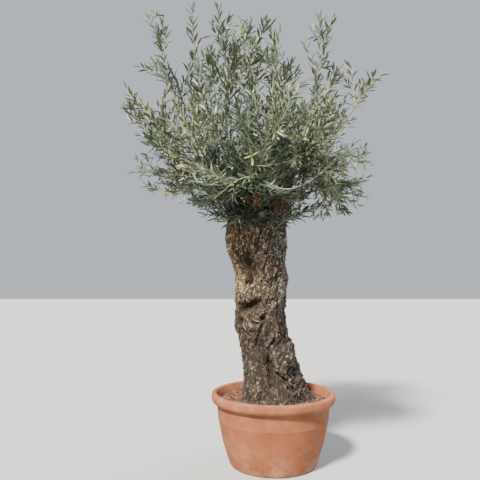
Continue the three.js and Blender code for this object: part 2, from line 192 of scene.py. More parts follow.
# Narrow winding creases, cut in and darkened with painted shade: half width and depth, then the bearings and
# heights that each one passes
CREASES = {
    "burl edge": (0.0060, 0.019, (
        (290, 0.668), (277, 0.640), (269, 0.600), (267, 0.560), (271, 0.520), (280, 0.492), (292, 0.468))),
    "lump edge": (0.0050, 0.013, (
        (280, 0.802), (276, 0.762), (268, 0.730), (260, 0.702), (253, 0.674), (249, 0.646))),
    "under the brow": (0.0140, 0.013, ((204, 0.802), (222, 0.820), (238, 0.834), (252, 0.852), (268, 0.872))),
    "brow lip": (0.0050, 0.010, ((208, 0.822), (224, 0.834), (240, 0.848), (256, 0.866))),
    "left slot": (0.0045, 0.012, ((219, 0.752), (226, 0.726), (230, 0.700), (228, 0.672), (234, 0.640))),
    "plate edge": (0.0045, 0.011, ((296, 1.230), (290, 1.198), (294, 1.165), (288, 1.128), (291, 1.092))),
    "scar right": (0.0040, 0.009, ((258, 1.215), (255, 1.160), (259, 1.110), (254, 1.060), (257, 1.010))),
    "scar left": (0.0040, 0.008, ((218, 1.120), (224, 1.070), (222, 1.020), (230, 0.985))),
    "right groove": (0.0045, 0.010, (
        (302, 1.010), (308, 0.955), (303, 0.900), (310, 0.840), (305, 0.780), (311, 0.720))),
    "far groove": (0.0045, 0.010, ((336, 1.160), (330, 1.080), (337, 1.000), (331, 0.900), (336, 0.800))),
    "right fold": (0.0050, 0.010, ((318, 0.690), (328, 0.660), (340, 0.664), (352, 0.640))),
    "side fold": (0.0050, 0.011, ((8, 1.120), (16, 1.040), (10, 0.940), (18, 0.860))),
    "side curl": (0.0045, 0.010, ((-2, 0.700), (12, 0.680), (26, 0.700), (32, 0.740), (24, 0.780))),
    "back curl": (0.0050, 0.012, (
        (60, 0.770), (70, 0.800), (88, 0.802), (102, 0.770), (108, 0.720), (100, 0.660))),
    "back fold": (0.0050, 0.012, ((48, 0.960), (60, 0.950), (74, 0.958), (86, 0.945))),
    "back long": (0.0045, 0.010, ((100, 1.200), (106, 1.120), (99, 1.040), (104, 0.950))),
    "knob edge": (0.0045, 0.010, ((112, 1.080), (120, 1.096), (136, 1.090), (147, 1.060), (146, 1.010))),
    "left fold": (0.0050, 0.011, ((160, 0.965), (172, 0.955), (186, 0.960), (198, 0.945))),
    "left long": (0.0045, 0.010, ((182, 0.880), (190, 0.820), (186, 0.750), (194, 0.680), (190, 0.610))),
    "back low": (0.0050, 0.011, ((166, 0.620), (158, 0.640), (144, 0.636), (134, 0.600), (136, 0.540))),
}

# Dark (below 0) and pale (above 0) places on the bark: painted shade in its hollows, knot holes and clefts
# and under its overhangs and head, staining and darker bark low on the trunk, and painted highlight on its
# burls, knobs, plate and brow: bearing and width in degrees, height, tall, strength
BARK_STAINS_AND_PAINTED_LIGHT = {
    "scar": (233, 19, 1.068, 0.064, -1.45),
    "under the head": (291, 14, 1.195, 0.030, -0.45),
    "top of the front": (248, 30, 1.222, 0.036, 0.45),
    "right knot": (314, 12, 1.115, 0.026, -0.75),
    "overhang shadow": (218, 20, 0.824, 0.022, -0.95),
    "overhang right shadow": (254, 14, 0.864, 0.018, -0.75),
    "below the lump": (252, 17, 0.662, 0.034, -0.60),
    "low left": (226, 36, 0.560, 0.110, -0.80),
    "low middle": (264, 14, 0.510, 0.080, -0.55),
    "foot": (300, 60, 0.400, 0.050, -0.35),
    "front plate": (266, 18, 1.155, 0.055, 0.55),
    "brow": (238, 20, 0.918, 0.034, 0.75),
    "swirl lump": (244, 24, 0.745, 0.052, 0.30),
    "left knot hole": (225, 7, 0.764, 0.018, -2.00),
    "middle knot hole": (273, 6, 0.780, 0.016, -1.60),
    "left slot": (229, 4, 0.700, 0.040, -0.90),
    "scar hole": (242, 5, 0.983, 0.016, -1.20),
    "scar tongue": (230, 7, 0.986, 0.012, 0.80),
    "foot burl": (303, 25, 0.570, 0.064, 0.72),
    "ridge over the burl": (288, 10, 0.680, 0.030, 0.40),
    "head bulge": (200, 22, 1.150, 0.060, 0.35),
    "side hollow": (20, 22, 0.780, 0.080, -0.45),
    "back hollow": (60, 16, 1.060, 0.060, -0.60),
    "back burl": (82, 34, 0.690, 0.070, 0.40),
    "back cleft": (110, 14, 0.860, 0.150, -0.40),
    "back knob": (130, 24, 1.020, 0.055, 0.45),
    "back lump": (150, 22, 0.560, 0.050, 0.35),
    "side band": (172, 26, 0.900, 0.050, -0.40),
    "side knob": (172, 16, 0.800, 0.040, 0.30),
}

# Heights between which the bark changes up the trunk, and the bearing of its greyest side, the side in shade,
# which is painted grey as the sunlit side is painted warmer
SMOOTHER_BARK = (0.78, 0.98)
WARMER_BARK = (0.66, 0.98)
RUSTY_BARK = (1.19, 1.33)
TRUNK_DETAILS_END = (1.28, 1.34)
SHADED_GREY_SIDE = math.radians(345)

# How often the bark's patterns repeat in a metre, across and along its grain, and how far they are bent
PATTERNS = {
    "wide bend": (9, 9),
    "small bend": (62, 40),
    "scales": (92, 46),
    "knobs": (28, 22),
    "fissures": (35, 8.5),
    "splits": (76, 24),
}
LUMPS_PER_METRE = 12
WIDE_BEND = 0.028
SMALL_BEND = 0.007

# How high the bark's fine relief rises, and how deep its cracks are cut
RELIEF = {"skin": 0.003, "lumps": 0.008, "knobs": 0.011}
CUTS = {"fissures": 0.0060, "splits": 0.0026, "cracks": 0.0038}

# The source's arms: the line from base to tip, the radii there, the knuckle, where the rings lie, and the bow
ARMS = {
    "arm_right": {"base": (-0.006, -0.022, 1.262), "tip": (0.062, -0.026, 1.560),
                  "radii": (0.057, 0.041), "knuckle": 0.050},
    "arm_left": {"base": (-0.156, -0.006, 1.262), "tip": (-0.222, -0.010, 1.466),
                 "radii": (0.053, 0.038), "knuckle": 0.047},
    "arm_back": {"base": (-0.080, 0.076, 1.262), "tip": (-0.062, 0.156, 1.504),
                 "radii": (0.051, 0.038), "knuckle": 0.047},
    "arm_front": {"base": (-0.096, -0.082, 1.262), "tip": (-0.110, -0.152, 1.440),
                  "radii": (0.046, 0.035), "knuckle": 0.043},
}
ARM_RINGS = (-0.3, 0.25, 0.6, 1.0)
ARM_BOW = 0.06
STUB = 0.014

# The plain forms under the bark: mesh counts, the collar of each arm, and the stubs and knots of its knuckle
CORE = {"trunk_sides": 96, "trunk_levels": 90, "arm_sides": 24, "arm_levels": 14, "stub_sides": 10}
CORE_SUNK = 0.012
COLLAR = {"height": 0.016, "at": 0.28, "width": 0.16}
STUB_RADII = (0.018, 0.015, 0.0115)
KNOT = {"at": 0.62, "radius": 0.021}

# The crown's middle, and how much a mass's leader arches and its shoots turn up
HEAD_AXIS = Vector((-0.085, 0.0, 0.0))
UPRIGHT = {"arch": 0.0, "lift": 0.16}
ARCHING = {"arch": 0.16, "lift": -0.02}

# Shares of the tints olive, grey-green, blue-green and yellow-olive, and where the crown shades its leaves
BODY_TINTS = (0.42, 0.34, 0.06, 0.18)
SUNNY_TINTS = (0.36, 0.30, 0.02, 0.32)
SHADY_TINTS = (0.40, 0.28, 0.26, 0.06)
DEEP_TINTS = (0.32, 0.05, 0.63, 0.00)
SHADE = {"middle": (-0.085, 0.0, 1.400), "near": 0.28, "far": 0.48}

# The source's masses, each with how full it is, how far its shoots and its tip grow on, how large its leaves
# are, and the share of each leaf tint
MASSES = [
    {"name": "crown_top", "arm": "arm_back", "bearing": 118, "reach": 0.090, "top": 2.370, "spread": 0.230,
     "full": 0.55, "growth": 0.3, "tip": 0.02, "leaf": 1.12},
    {"name": "crown_left", "arm": "arm_left", "bearing": 212, "reach": 0.200, "top": 2.190, "spread": 0.270,
     "full": 0.65, "growth": 0.7, "leaf": 1.12},
    {"name": "crown_right", "arm": "arm_front", "bearing": 300, "reach": 0.160, "top": 2.130, "spread": 0.240,
     "full": 0.7, "growth": 0.6, "leaf": 1.08},
    {"name": "crown_back", "arm": "arm_back", "bearing": 58, "reach": 0.300, "top": 2.110, "spread": 0.270,
     "full": 0.45, "growth": 0.4},
    {"name": "whip_left", "arm": "arm_left", "bearing": 187, "reach": 0.345, "top": 2.380, "spread": 0.170,
     "full": 0.10, "growth": 0.1, "tip": 0.02, "leaf": 1.12},
    {"name": "whip_far_left", "arm": "arm_left", "bearing": 172, "reach": 0.550, "top": 2.350,
     "spread": 0.190, "full": 0.45, "growth": 0.3, "tip": 0.12, "leaf": 1.08},
    {"name": "whip_right", "arm": "arm_right", "bearing": 8, "reach": 0.350, "top": 2.350, "spread": 0.180,
     "full": 0.3, "growth": 0.3, "leaf": 1.12},
    {"name": "right", "arm": "arm_right", "bearing": 350, "reach": 0.570, "top": 1.970, "spread": 0.280,
     "growth": 0.3, "tints": SUNNY_TINTS},
    {"name": "right_low", "arm": "arm_right", "bearing": 10, "reach": 0.450, "top": 1.440, "spread": 0.250,
     "full": 0.5, "growth": 0.3, "tints": SUNNY_TINTS, **ARCHING},
    {"name": "right_front", "arm": "arm_right", "bearing": 302, "reach": 0.480, "top": 1.600, "spread": 0.260,
     "leaf": 0.85},
    {"name": "right_back", "arm": "arm_right", "bearing": 44, "reach": 0.560, "top": 1.960, "spread": 0.290,
     "full": 0.7, "growth": 0.5},
    {"name": "left", "arm": "arm_left", "bearing": 184, "reach": 0.540, "top": 1.810, "spread": 0.270,
     "full": 0.68, "growth": 0.3, "tints": SUNNY_TINTS},
    {"name": "left_low", "arm": "arm_left", "bearing": 162, "reach": 0.480, "top": 1.480, "spread": 0.250,
     "full": 0.62, "growth": 0.2, "tints": SUNNY_TINTS, **ARCHING},
    {"name": "left_front", "arm": "arm_left", "bearing": 228, "reach": 0.480, "top": 1.680, "spread": 0.270,
     "full": 0.65, "growth": 0.4},
    {"name": "front", "arm": "arm_front", "bearing": 274, "reach": 0.500, "top": 1.640, "spread": 0.260,
     "full": 0.9, "growth": 0.5, "leaf": 0.85, "tints": SHADY_TINTS},
    {"name": "front_low", "arm": "arm_front", "bearing": 250, "reach": 0.400, "top": 1.390, "spread": 0.230,
     "full": 1.3, "growth": 0.3, "leaf": 0.9, "tints": SHADY_TINTS, **ARCHING},
    {"name": "back", "arm": "arm_back", "bearing": 90, "reach": 0.570, "top": 1.930, "spread": 0.290,
     "full": 0.75, "growth": 0.6},
    {"name": "back_left", "arm": "arm_back", "bearing": 138, "reach": 0.570, "top": 1.950, "spread": 0.290,
     "full": 0.7, "growth": 0.4},
]
USUAL_MASS = {"full": 1.0, "growth": 0.8, "tip": 0.06, "leaf": 1.0, "tints": BODY_TINTS, **UPRIGHT}
MASSES = [{**USUAL_MASS, **mass} for mass in MASSES]

# Gaps in the crown through which the sky or the right arm shows: middle and half size
CLEARINGS = {
    "right of the top": ((0.082, 0.0, 2.260), (0.062, 0.7, 0.210)),
    "left of the top": ((-0.350, 0.0, 2.390), (0.050, 0.7, 0.110)),
    "under the far whip": ((-0.520, 0.0, 2.225), (0.070, 0.7, 0.070)),
    "left shoulder": ((-0.620, 0.0, 1.990), (0.050, 0.7, 0.090)),
    "left notch": ((-0.485, 0.0, 1.750), (0.040, 0.7, 0.060)),
    "middle window": ((-0.055, 0.0, 1.965), (0.055, 0.7, 0.050)),
    "right notch": ((0.390, 0.0, 1.800), (0.080, 0.7, 0.080)),
    "right window": ((0.340, 0.0, 1.690), (0.055, 0.7, 0.050)),
    "far right": ((0.560, 0.0, 1.660), (0.080, 0.7, 0.160)),
    "above the right": ((0.540, 0.0, 2.330), (0.210, 0.9, 0.320)),
    "foot of the right arm": ((0.018, -0.280, 1.335), (0.052, 0.30, 0.044)),
}

# How far fine growth may pass the source's outline
OPEN_MARGIN = (0.03, 0.03, 0.0)

# The crown's lower edge: its height near the head and at the tips, how far out those are, its fall to the
# right, and how far below it the leaves of the sprigs may hang
SKIRT = {"heights": (1.270, 1.380), "reaches": (0.20, 0.50), "fall": 0.12, "hang": 0.20}

# Leafy sprigs that break from the trunk's old bark: bearing, height, length and rise
TRUNK_SPRIGS = (
    (330, 1.300, 0.200, 0.10),
    (345, 1.300, 0.260, 0.05),
    (350, 1.275, 0.180, 0.00),
    (5, 1.290, 0.250, 0.02),
    (250, 1.315, 0.170, -0.12),
    (268, 1.320, 0.150, -0.22),
    (228, 1.310, 0.180, -0.10),
    (292, 1.102, 0.070, -0.05),
    (304, 1.104, 0.070, 0.05),
    (300, 1.225, 0.120, 0.05),
    (312, 1.240, 0.120, 0.10),
    (256, 1.296, 0.075, -0.30),
    (270, 1.290, 0.070, -0.30),
    (258, 1.325, 0.130, -0.20),
    (240, 1.320, 0.150, -0.20),
    (236, 1.300, 0.160, -0.28),
    (250, 1.290, 0.190, -0.30),
    (262, 1.280, 0.150, -0.25),
    (276, 1.275, 0.120, -0.15),
    (326, 1.285, 0.130, -0.15),
    (282, 1.330, 0.140, -0.25),
    (214, 1.310, 0.150, 0.00),
    (190, 1.290, 0.150, 0.10),
    (20, 1.290, 0.150, 0.10),
    (62, 1.300, 0.140, 0.00),
    (104, 1.290, 0.150, 0.10),
    (146, 1.300, 0.140, 0.00),
)
TRUNK_SPRIG_SWAY = 0.3
TRUNK_SPRIGS_WITH = "arm_front"
ARM_SPRIG = {"count": 12, "first": 0.15, "shortest": 0.11, "longest": 0.21, "rise": 0.08, "sway": 0.4}

# The tuft of shoots on each arm's knuckle, as on a tree that is cut back to it
TUFT = {"shoots": 26, "lowest": -0.45, "highest": 0.95, "shortest": 0.12, "longest": 0.29, "rise": 0.05,
        "sway": 0.35}
TUFT_TWIG = {"length": 0.8, "rise": 0.1, "first": 0.3}

# Long whips that bow out of a mass: the mass, where on its leader, how far apart its leaves are, and its path
WHIPS = (
    ("front", 0.42, 1.6, ((-0.079, -0.420, 1.427), (0.019, -0.440, 1.378), (0.108, -0.440, 1.400),
                          (0.184, -0.430, 1.450), (0.255, -0.420, 1.514))),
    ("front", 0.36, 1.3, ((-0.119, -0.420, 1.445), (-0.195, -0.440, 1.414), (-0.293, -0.430, 1.338))),
    ("front", 0.55, 1.5, ((-0.020, -0.420, 1.690), (0.100, -0.430, 1.735), (0.230, -0.420, 1.760))),
    ("left", 0.80, 0.9, ((-0.660, -0.040, 1.850), (-0.725, -0.042, 1.905), (-0.775, -0.044, 1.985))),
    ("left", 0.66, 0.9, ((-0.620, -0.060, 1.740), (-0.700, -0.080, 1.800), (-0.760, -0.090, 1.850))),
    ("whip_far_left", 0.50, 0.9, ((-0.500, 0.050, 2.000), (-0.535, 0.050, 2.080), (-0.560, 0.050, 2.140))),
    ("whip_far_left", 0.40, 0.9, ((-0.430, 0.040, 1.960), (-0.450, 0.040, 2.050), (-0.455, 0.040, 2.130))),
    ("back_left", 0.40, 1.6, ((-0.420, 0.350, 1.640), (-0.500, 0.420, 1.560), (-0.540, 0.450, 1.470))),
    ("right_back", 0.35, 1.6, ((0.190, 0.260, 1.640), (0.300, 0.330, 1.620), (0.390, 0.380, 1.530))),
)

# The source's leaders and shoots, how many tries each shoot has, and the room that they keep
LEADER = {"radii": (0.010, 0.0025), "steps": 6, "sway": 0.04, "splay": 2.2, "turn": 0.4}
SHOOT = {"steps": 2, "per_mass": 5, "first": 0.26, "last": 0.95, "angles": (1.0, 0.6), "taper": 0.55}
DRAWS = 4
ROOM_BETWEEN_MASSES = 0.004
ROOM_BESIDE_LIMBS = 0.009

# How far the masses' growth and the sprigs' leaves keep off the arms and off the trunk
MASS_ROOM = (ROOM_BESIDE_LIMBS + STUB, TRUNK_WAIST * 0.4)
SPRIG_ROOM = (0.006, 0.010)

# Growth finer than the source's: further shoots, and side twigs on leaders and shoots
FURTHER_SHOOTS_FROM = 0.12
TWIG = {"angle": 0.72, "on_leader": 0.30, "on_shoot": 0.18, "last": 0.96, "sway": 0.25}
FINE_LEADER_STEPS = 24

# Radii at both ends of each kind of wood, and its skin
SKINS = ("Old skin", "Young skin", "Pale skin")
OLD, YOUNG, PALE = range(3)
SHOOT_WOOD = (0.0034, 0.0013, YOUNG)
WHIP_WOOD = (0.0029, 0.0014, PALE)
TWIG_WOOD = (0.0016, 0.0009, YOUNG)
SPRIG_WOOD = (0.0018, 0.0009, YOUNG)
TWIG_SIDES = 6

# Leaf pairs on each kind of wood: where on it they start, and the share of leaves that have dropped.
# In a thin mass they are further apart.
LEAFING = {
    "leader": (0.42, 0.15),
    "shoot": (0.16, 0.12),
    "whip": (0.12, 0.15),
    "twig": (0.12, 0.06),
    "sprig": (0.2, 0.1),
}
THIN_MASS_SPACING = 1.35

SEEDS = {"leaders": 500, "foliage": 1000, "finer": 2000, "leaves": 2900, "sprigs": 7000, "step": 37,
         "bark": 3, "chip_spots": 11, "chip_turns": 21, "chip_sizes": 31}

# The view of the photograph, in a frame of 480 by 480 pixels
PHOTO_SIZE = 480
HORIZON_ROW = 285
FOCAL_PIXELS = 481
CAMERA_PLACE = (-0.1774, -2.586, 0.95)
SENSOR = 36.0
FLOOR_REACH = 30.0


def between(a, b, share):
    """The value at a share of the way from a to b."""
    return a + (b - a) * share


def smooth_step(value, low, high):
    """A soft ramp from 0 at low to 1 at high, for numbers and arrays."""
    share = np.clip((value - low) / (high - low), 0, 1)
    return share * share * (3 - 2 * share)


def sequence(seed):
    """Numbers from 0 to 1 by the Park-Miller rule, as in the source."""
    state = seed
    while True:
        state = state * 48271 % 2147483647
        yield state / 2147483647


def seeded(kind, index):
    """The numbers for one use in one mass or on one arm."""
    return sequence(SEEDS[kind] + SEEDS["step"] * index)


# Making nodes, meshes and pieces

def add_node(tree, kind, inputs=None, **settings):
    """Adds a node, sets its properties, and sets or links its inputs by name or number."""
    made = tree.nodes.new(kind)
    for name, value in settings.items():
        setattr(made, name, value)
    for key, value in (inputs or {}).items():
        if isinstance(value, bpy.types.NodeSocket):
            tree.links.new(value, made.inputs[key])
        else:
            made.inputs[key].default_value = value
    return made


def as_mesh(name, vertices, faces):
    """A mesh from lists of points and faces, with its doubles merged and normals outwards."""
    mesh = bpy.data.meshes.new(name)
    mesh.from_pydata([tuple(v) for v in vertices], [], [tuple(f) for f in faces])
    work = bmesh.new()
    work.from_mesh(mesh)
    bmesh.ops.remove_doubles(work, verts=work.verts, dist=MERGED)
    bmesh.ops.dissolve_degenerate(work, dist=MERGED, edges=work.edges)
    bmesh.ops.recalc_face_normals(work, faces=work.faces)
    work.to_mesh(mesh)
    work.free()
    return mesh


def linked(name, data):
    """A new object in the scene."""
    made = bpy.data.objects.new(name, data)
    bpy.context.scene.collection.objects.link(made)
    return made


def add_object(name, mesh, materials=(), smooth=True):
    """A new object with this mesh and these materials, shaded smooth or flat."""
    made = linked(name, mesh)
    for material in materials:
        mesh.materials.append(material)
    mesh.polygons.foreach_set("use_smooth", [smooth] * len(mesh.polygons))
    return made


def dress(piece, slot, *nodes):
    """Lets a finished piece ride on the tree and stand for its nodes."""
    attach(piece, BODY)
    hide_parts(*nodes)


def bake_modifiers(item, name):
    """Turns an object with modifiers into a new plain mesh object, and removes the old one."""
    graph = bpy.context.evaluated_depsgraph_get()
    mesh = bpy.data.meshes.new_from_object(item.evaluated_get(graph))
    mesh.name = name
    bpy.data.objects.remove(item)
    return linked(name, mesh)


def run_nodes(item, tree, name, values):
    """Runs a geometry node tree on an object with named inputs, and keeps the plain mesh."""
    modifier = item.modifiers.new(tree.name, "NODES")
    modifier.node_group = tree
    for socket in tree.interface.items_tree:
        if socket.in_out == "INPUT" and socket.name in values:
            modifier[socket.identifier] = values[socket.name]
    return bake_modifiers(item, name)


def new_tree(name, sockets):
    """A geometry node tree with a mesh going in and out, and further named inputs."""
    tree = bpy.data.node_groups.new(name, "GeometryNodeTree")
    tree.interface.new_socket("Geometry", in_out="INPUT", socket_type="NodeSocketGeometry")
    tree.interface.new_socket("Geometry", in_out="OUTPUT", socket_type="NodeSocketGeometry")
    for label, kind in sockets:
        tree.interface.new_socket(label, in_out="INPUT", socket_type="NodeSocket" + kind)
    return tree, tree.nodes.new("NodeGroupInput").outputs, tree.nodes.new("NodeGroupOutput").inputs


def attribute_of(tree, name, kind="FLOAT"):
    """The output of a node that reads a named attribute."""
    made = add_node(tree, "GeometryNodeInputNamedAttribute", {"Name": name}, data_type=kind)
    return made.outputs["Attribute"]


def where_number(tree, name, number):
    """Where a named attribute holds this whole number."""
    values = {2: attribute_of(tree, name, "INT"), 3: number}
    return add_node(tree, "FunctionNodeCompare", values, data_type="INT", operation="EQUAL").outputs[0]


def with_material(tree, form, material, where=True):
    """A form with a material, all over or where a selection holds."""
    values = {"Geometry": form, "Material": material, "Selection": where}
    return add_node(tree, "GeometryNodeSetMaterial", values).outputs[0]


def set_values(mesh, name, kind, values):
    """Stores one value for each point of a mesh."""
    layer = mesh.attributes.new(name, kind, "POINT")
    numbers = np.asarray(values, dtype=np.int32 if kind == "INT" else np.float32)
    layer.data.foreach_set("vector" if kind == "FLOAT_VECTOR" else "value", numbers.ravel())


def ring_faces(rings, sides):
    """The faces between rings of points that follow one another."""
    faces = []
    for row in range(rings - 1):
        for i in range(sides):
            j = (i + 1) % sides
            faces.append((row * sides + i, row * sides + j, (row + 1) * sides + j, (row + 1) * sides + i))
    return faces


def revolve(name, profile, sides):
    """A closed turned shape from (radius, height) pairs that start and end on the axis."""
    vertices = []
    for radius, height in profile:
        for i in range(sides):
            turn = 2 * math.pi * i / sides
            vertices.append((radius * math.cos(turn), radius * math.sin(turn), height))
    return as_mesh(name, vertices, ring_faces(len(profile), sides))


def rounded(profile, radius, steps=4):
    """The profile with each inner corner replaced by a short curve."""
    points = [Vector(p) for p in profile]
    result = [points[0]]
    for before, corner, after in zip(points, points[1:], points[2:]):
        reach_in = min(radius, (before - corner).length / 2)
        reach_out = min(radius, (after - corner).length / 2)
        start = corner + (before - corner).normalized() * reach_in
        end = corner + (after - corner).normalized() * reach_out
        for i in range(steps + 1):
            share = i / steps
            result.append(start.lerp(corner, share).lerp(corner.lerp(end, share), share))
    return result + [points[-1]]


# Materials

def new_material(name, roughness, specular=0.5):
    """A material with the shader's plain numbers set, its node tree and its shader."""
    material = bpy.data.materials.new(name)
    material.use_nodes = True
    shader = material.node_tree.nodes["Principled BSDF"]
    shader.inputs["Roughness"].default_value = roughness
    shader.inputs["Specular IOR Level"].default_value = specular
    return material, material.node_tree, shader


def place(tree, scale=(1, 1, 1)):
    """The object's own coordinates, stretched."""
    coordinates = add_node(tree, "ShaderNodeTexCoord").outputs["Object"]
    return add_node(tree, "ShaderNodeMapping", {"Vector": coordinates, "Scale": scale}).outputs[0]


def grain(tree, where, scale, detail=4.0, roughness=0.55):
    """A noise pattern from 0 to 1."""
    values = {"Vector": where, "Scale": scale, "Detail": detail, "Roughness": roughness}
    return add_node(tree, "ShaderNodeTexNoise", values).outputs["Fac"]


def ramp(tree, factor, stops):
    """A colour ramp from (position, colour) stops."""
    made = add_node(tree, "ShaderNodeValToRGB", {"Fac": factor})
    elements = made.color_ramp.elements
    for i, (position, colour) in enumerate(stops):
        element = elements[i] if i < len(elements) else elements.new(position)
        element.position = position
        element.color = (*colour[:3], 1)
    return made.outputs["Color"]


def blend(tree, factor, first, second, kind="MIX"):
    """Two colours mixed by a factor."""
    made = add_node(tree, "ShaderNodeMix", data_type="RGBA", blend_type=kind)
    for socket, value in zip((made.inputs[0], made.inputs[6], made.inputs[7]), (factor, first, second)):
        if isinstance(value, bpy.types.NodeSocket):
            tree.links.new(value, socket)
        else:
            socket.default_value = value if isinstance(value, float) else (*value[:3], 1)
    return made.outputs[2]


def spread_out(tree, value, low, high):
    """A value stretched so that low becomes 0 and high becomes 1."""
    values = {"Value": value, "From Min": low, "From Max": high}
    return add_node(tree, "ShaderNodeMapRange", values).outputs["Result"]


def combine(tree, kind, first, second):
    """Two values put together by a calculation."""
    return add_node(tree, "ShaderNodeMath", {0: first, 1: second}, operation=kind).outputs[0]


def times(tree, first, second):
    """Two values multiplied."""
    return combine(tree, "MULTIPLY", first, second)


def plus(tree, first, second):
    """Two values added."""
    return combine(tree, "ADD", first, second)


def set_colour(tree, shader, colour):
    """A pattern as the shader's colour."""
    tree.links.new(colour, shader.inputs["Base Color"])


def set_bump(tree, shader, height, distance, strength=1.0):
    """Fine relief on a shader."""
    values = {"Height": height, "Distance": distance, "Strength": strength}
    bump = add_node(tree, "ShaderNodeBump", values)
    tree.links.new(bump.outputs["Normal"], shader.inputs["Normal"])


def terracotta_material(looks):
    """Fired clay: mottled orange, with pale bloom near the foot and under the rim, and soil marks."""
    material, tree, shader = new_material("terracotta", 0.82, 0.25)
    where = place(tree)
    mottle = ramp(tree, grain(tree, where, 9, 6), [(0.3, looks.dark_clay), (0.7, looks.clay)])
    bands = grain(tree, place(tree, (2, 2, 40)), 3, 3)
    mottle = blend(tree, times(tree, bands, 0.35), mottle, looks.clay)
    height = add_node(tree, "ShaderNodeSeparateXYZ", {0: where}).outputs["Z"]
    near_foot = spread_out(tree, height, 0.20, 0.0)
    under_rim = times(tree, spread_out(tree, height, 0.22, POT_TOP), 0.6)
    patches = spread_out(tree, grain(tree, where, 14, 8, 0.7), 0.45, 0.68)
    bloom = times(tree, patches, combine(tree, "MAXIMUM", near_foot, under_rim))
    colour = blend(tree, times(tree, bloom, 0.62), mottle, looks.bloom)
    specks = spread_out(tree, grain(tree, where, 260, 2), 0.62, 0.75)
    set_colour(tree, shader, blend(tree, times(tree, specks, 0.35), colour, looks.dark_clay))
    relief = plus(tree, grain(tree, where, 160, 5), times(tree, bands, 0.8))
    set_bump(tree, shader, relief, 0.0012, 0.7)
    return material


def soil_material(looks):
    """Moist dark compost with a crumbly surface."""
    material, tree, shader = new_material("compost", 0.95, 0.2)
    where = place(tree)
    crumbs = grain(tree, where, 70, 8, 0.7)
    set_colour(tree, shader, ramp(tree, crumbs, [(0.35, looks.soil), (0.62, looks.crumb)]))
    set_bump(tree, shader, grain(tree, where, 120, 8, 0.75), 0.006)
    return material


def chip_material(name, colour, pale):
    """A chip of conifer bark, streaked along its grain."""
    material, tree, shader = new_material(name, 0.85, 0.25)
    where = place(tree)
    set_colour(tree, shader, ramp(tree, grain(tree, where, 90, 6, 0.7), [(0.35, colour), (0.7, pale)]))
    set_bump(tree, shader, grain(tree, where, 300, 4), 0.001)
    return material


def stored(tree, name, output="Fac"):
    """An attribute that the mesh carries."""
    return add_node(tree, "ShaderNodeAttribute", attribute_name=name).outputs[output]


def bark_grain(tree):
    """The bark's stored coordinates, and the same bent a little and drawn out along the grain."""
    where = stored(tree, "grain", "Vector")
    values = {"Vector": where, "Scale": 70.0, "Detail": 6.0, "Roughness": 0.7}
    bend = add_node(tree, "ShaderNodeTexNoise", values).outputs["Color"]
    values = {0: bend, 1: (0.5, 0.5, 0.5)}
    centred = add_node(tree, "ShaderNodeVectorMath", values, operation="SUBTRACT").outputs[0]
    values = {0: centred, "Scale": 0.024}
    shift = add_node(tree, "ShaderNodeVectorMath", values, operation="SCALE").outputs[0]
    bent = add_node(tree, "ShaderNodeVectorMath", {0: where, 1: shift}, operation="ADD").outputs[0]
    return where, add_node(tree, "ShaderNodeMapping", {"Vector": bent, "Scale": (1.0, 1.0, 0.42)}).outputs[0]


def bark_material(looks):
    """Olive bark: warm tan and grey flecks, warmer on the sunlit side as painted light, pale ridges that are
    worn and carry painted highlight, dark places of staining and painted shade, winding cracks, and painted
    shade in its crevices.
    """
    material, tree, shader = new_material("olive_bark", 0.9, 0.2)
    where, tall = bark_grain(tree)
    cells = {"Vector": tall, "Scale": 118.0}
    flecks = add_node(tree, "ShaderNodeTexVoronoi", cells, feature="F1").outputs["Color"]
    fleck_tone = add_node(tree, "ShaderNodeSeparateXYZ", {0: flecks}).outputs["X"]
    fleck_edges = add_node(tree, "ShaderNodeTexVoronoi", cells, feature="DISTANCE_TO_EDGE")
    streaks = spread_out(tree, grain(tree, tall, 190, 6, 0.7), 0.28, 0.72)
    tone = plus(tree, times(tree, fleck_tone, 0.42), times(tree, streaks, 0.58))
    patches = spread_out(tree, tone, 0.20, 0.72)
    warmth = stored(tree, "warmth")
    grey = blend(tree, patches, looks.grey_dark, looks.grey)
    tan = blend(tree, patches, looks.tan_dark, looks.tan)
    # Painted light and tone: tan where the bark is warmer higher up and on its sunlit side, grey on its side
    # in shade
    colour = blend(tree, warmth, grey, tan)
    colour = blend(tree, stored(tree, "rust"), colour, looks.rust)
    # Painted highlight and wear: worn ridges and raised forms turn pale
    bright = times(tree, spread_out(tree, tone, 0.34, 0.72), stored(tree, "ridge_wear_and_highlight"))
    colour = blend(tree, bright, colour, blend(tree, warmth, looks.pale_grey, looks.pale))
    frayed = times(tree, grain(tree, where, 420, 4, 0.7), 0.16)
    edges = spread_out(tree, plus(tree, fleck_edges.outputs["Distance"], frayed), 0.24, 0.06)
    colour = blend(tree, times(tree, edges, 0.80), colour, looks.crack_and_shade)
    # Dark places, painted shade with staining and darker towards the bottom, take dark grey and the colour of
    # the cracks in a speckle
    in_stain_and_shade = times(tree, spread_out(tree, tone, 0.62, 0.36), stored(tree, "stain_and_shade"))
    speckle = spread_out(tree, grain(tree, tall, 330, 5, 0.75), 0.42, 0.62)
    colour = blend(tree, in_stain_and_shade, colour, blend(tree, speckle, looks.crack_and_shade, looks.grey_dark))
    # Painted shade in the crevices and hollows, in the colour of the cracks
    set_colour(tree, shader, blend(tree, stored(tree, "crevice_shade"), colour, looks.crack_and_shade))
    fine = plus(tree, times(tree, edges, -0.8), times(tree, streaks, 0.75))
    fine = plus(tree, fine, times(tree, speckle, 0.35))
    set_bump(tree, shader, fine, 0.0035, 0.9)
    return material


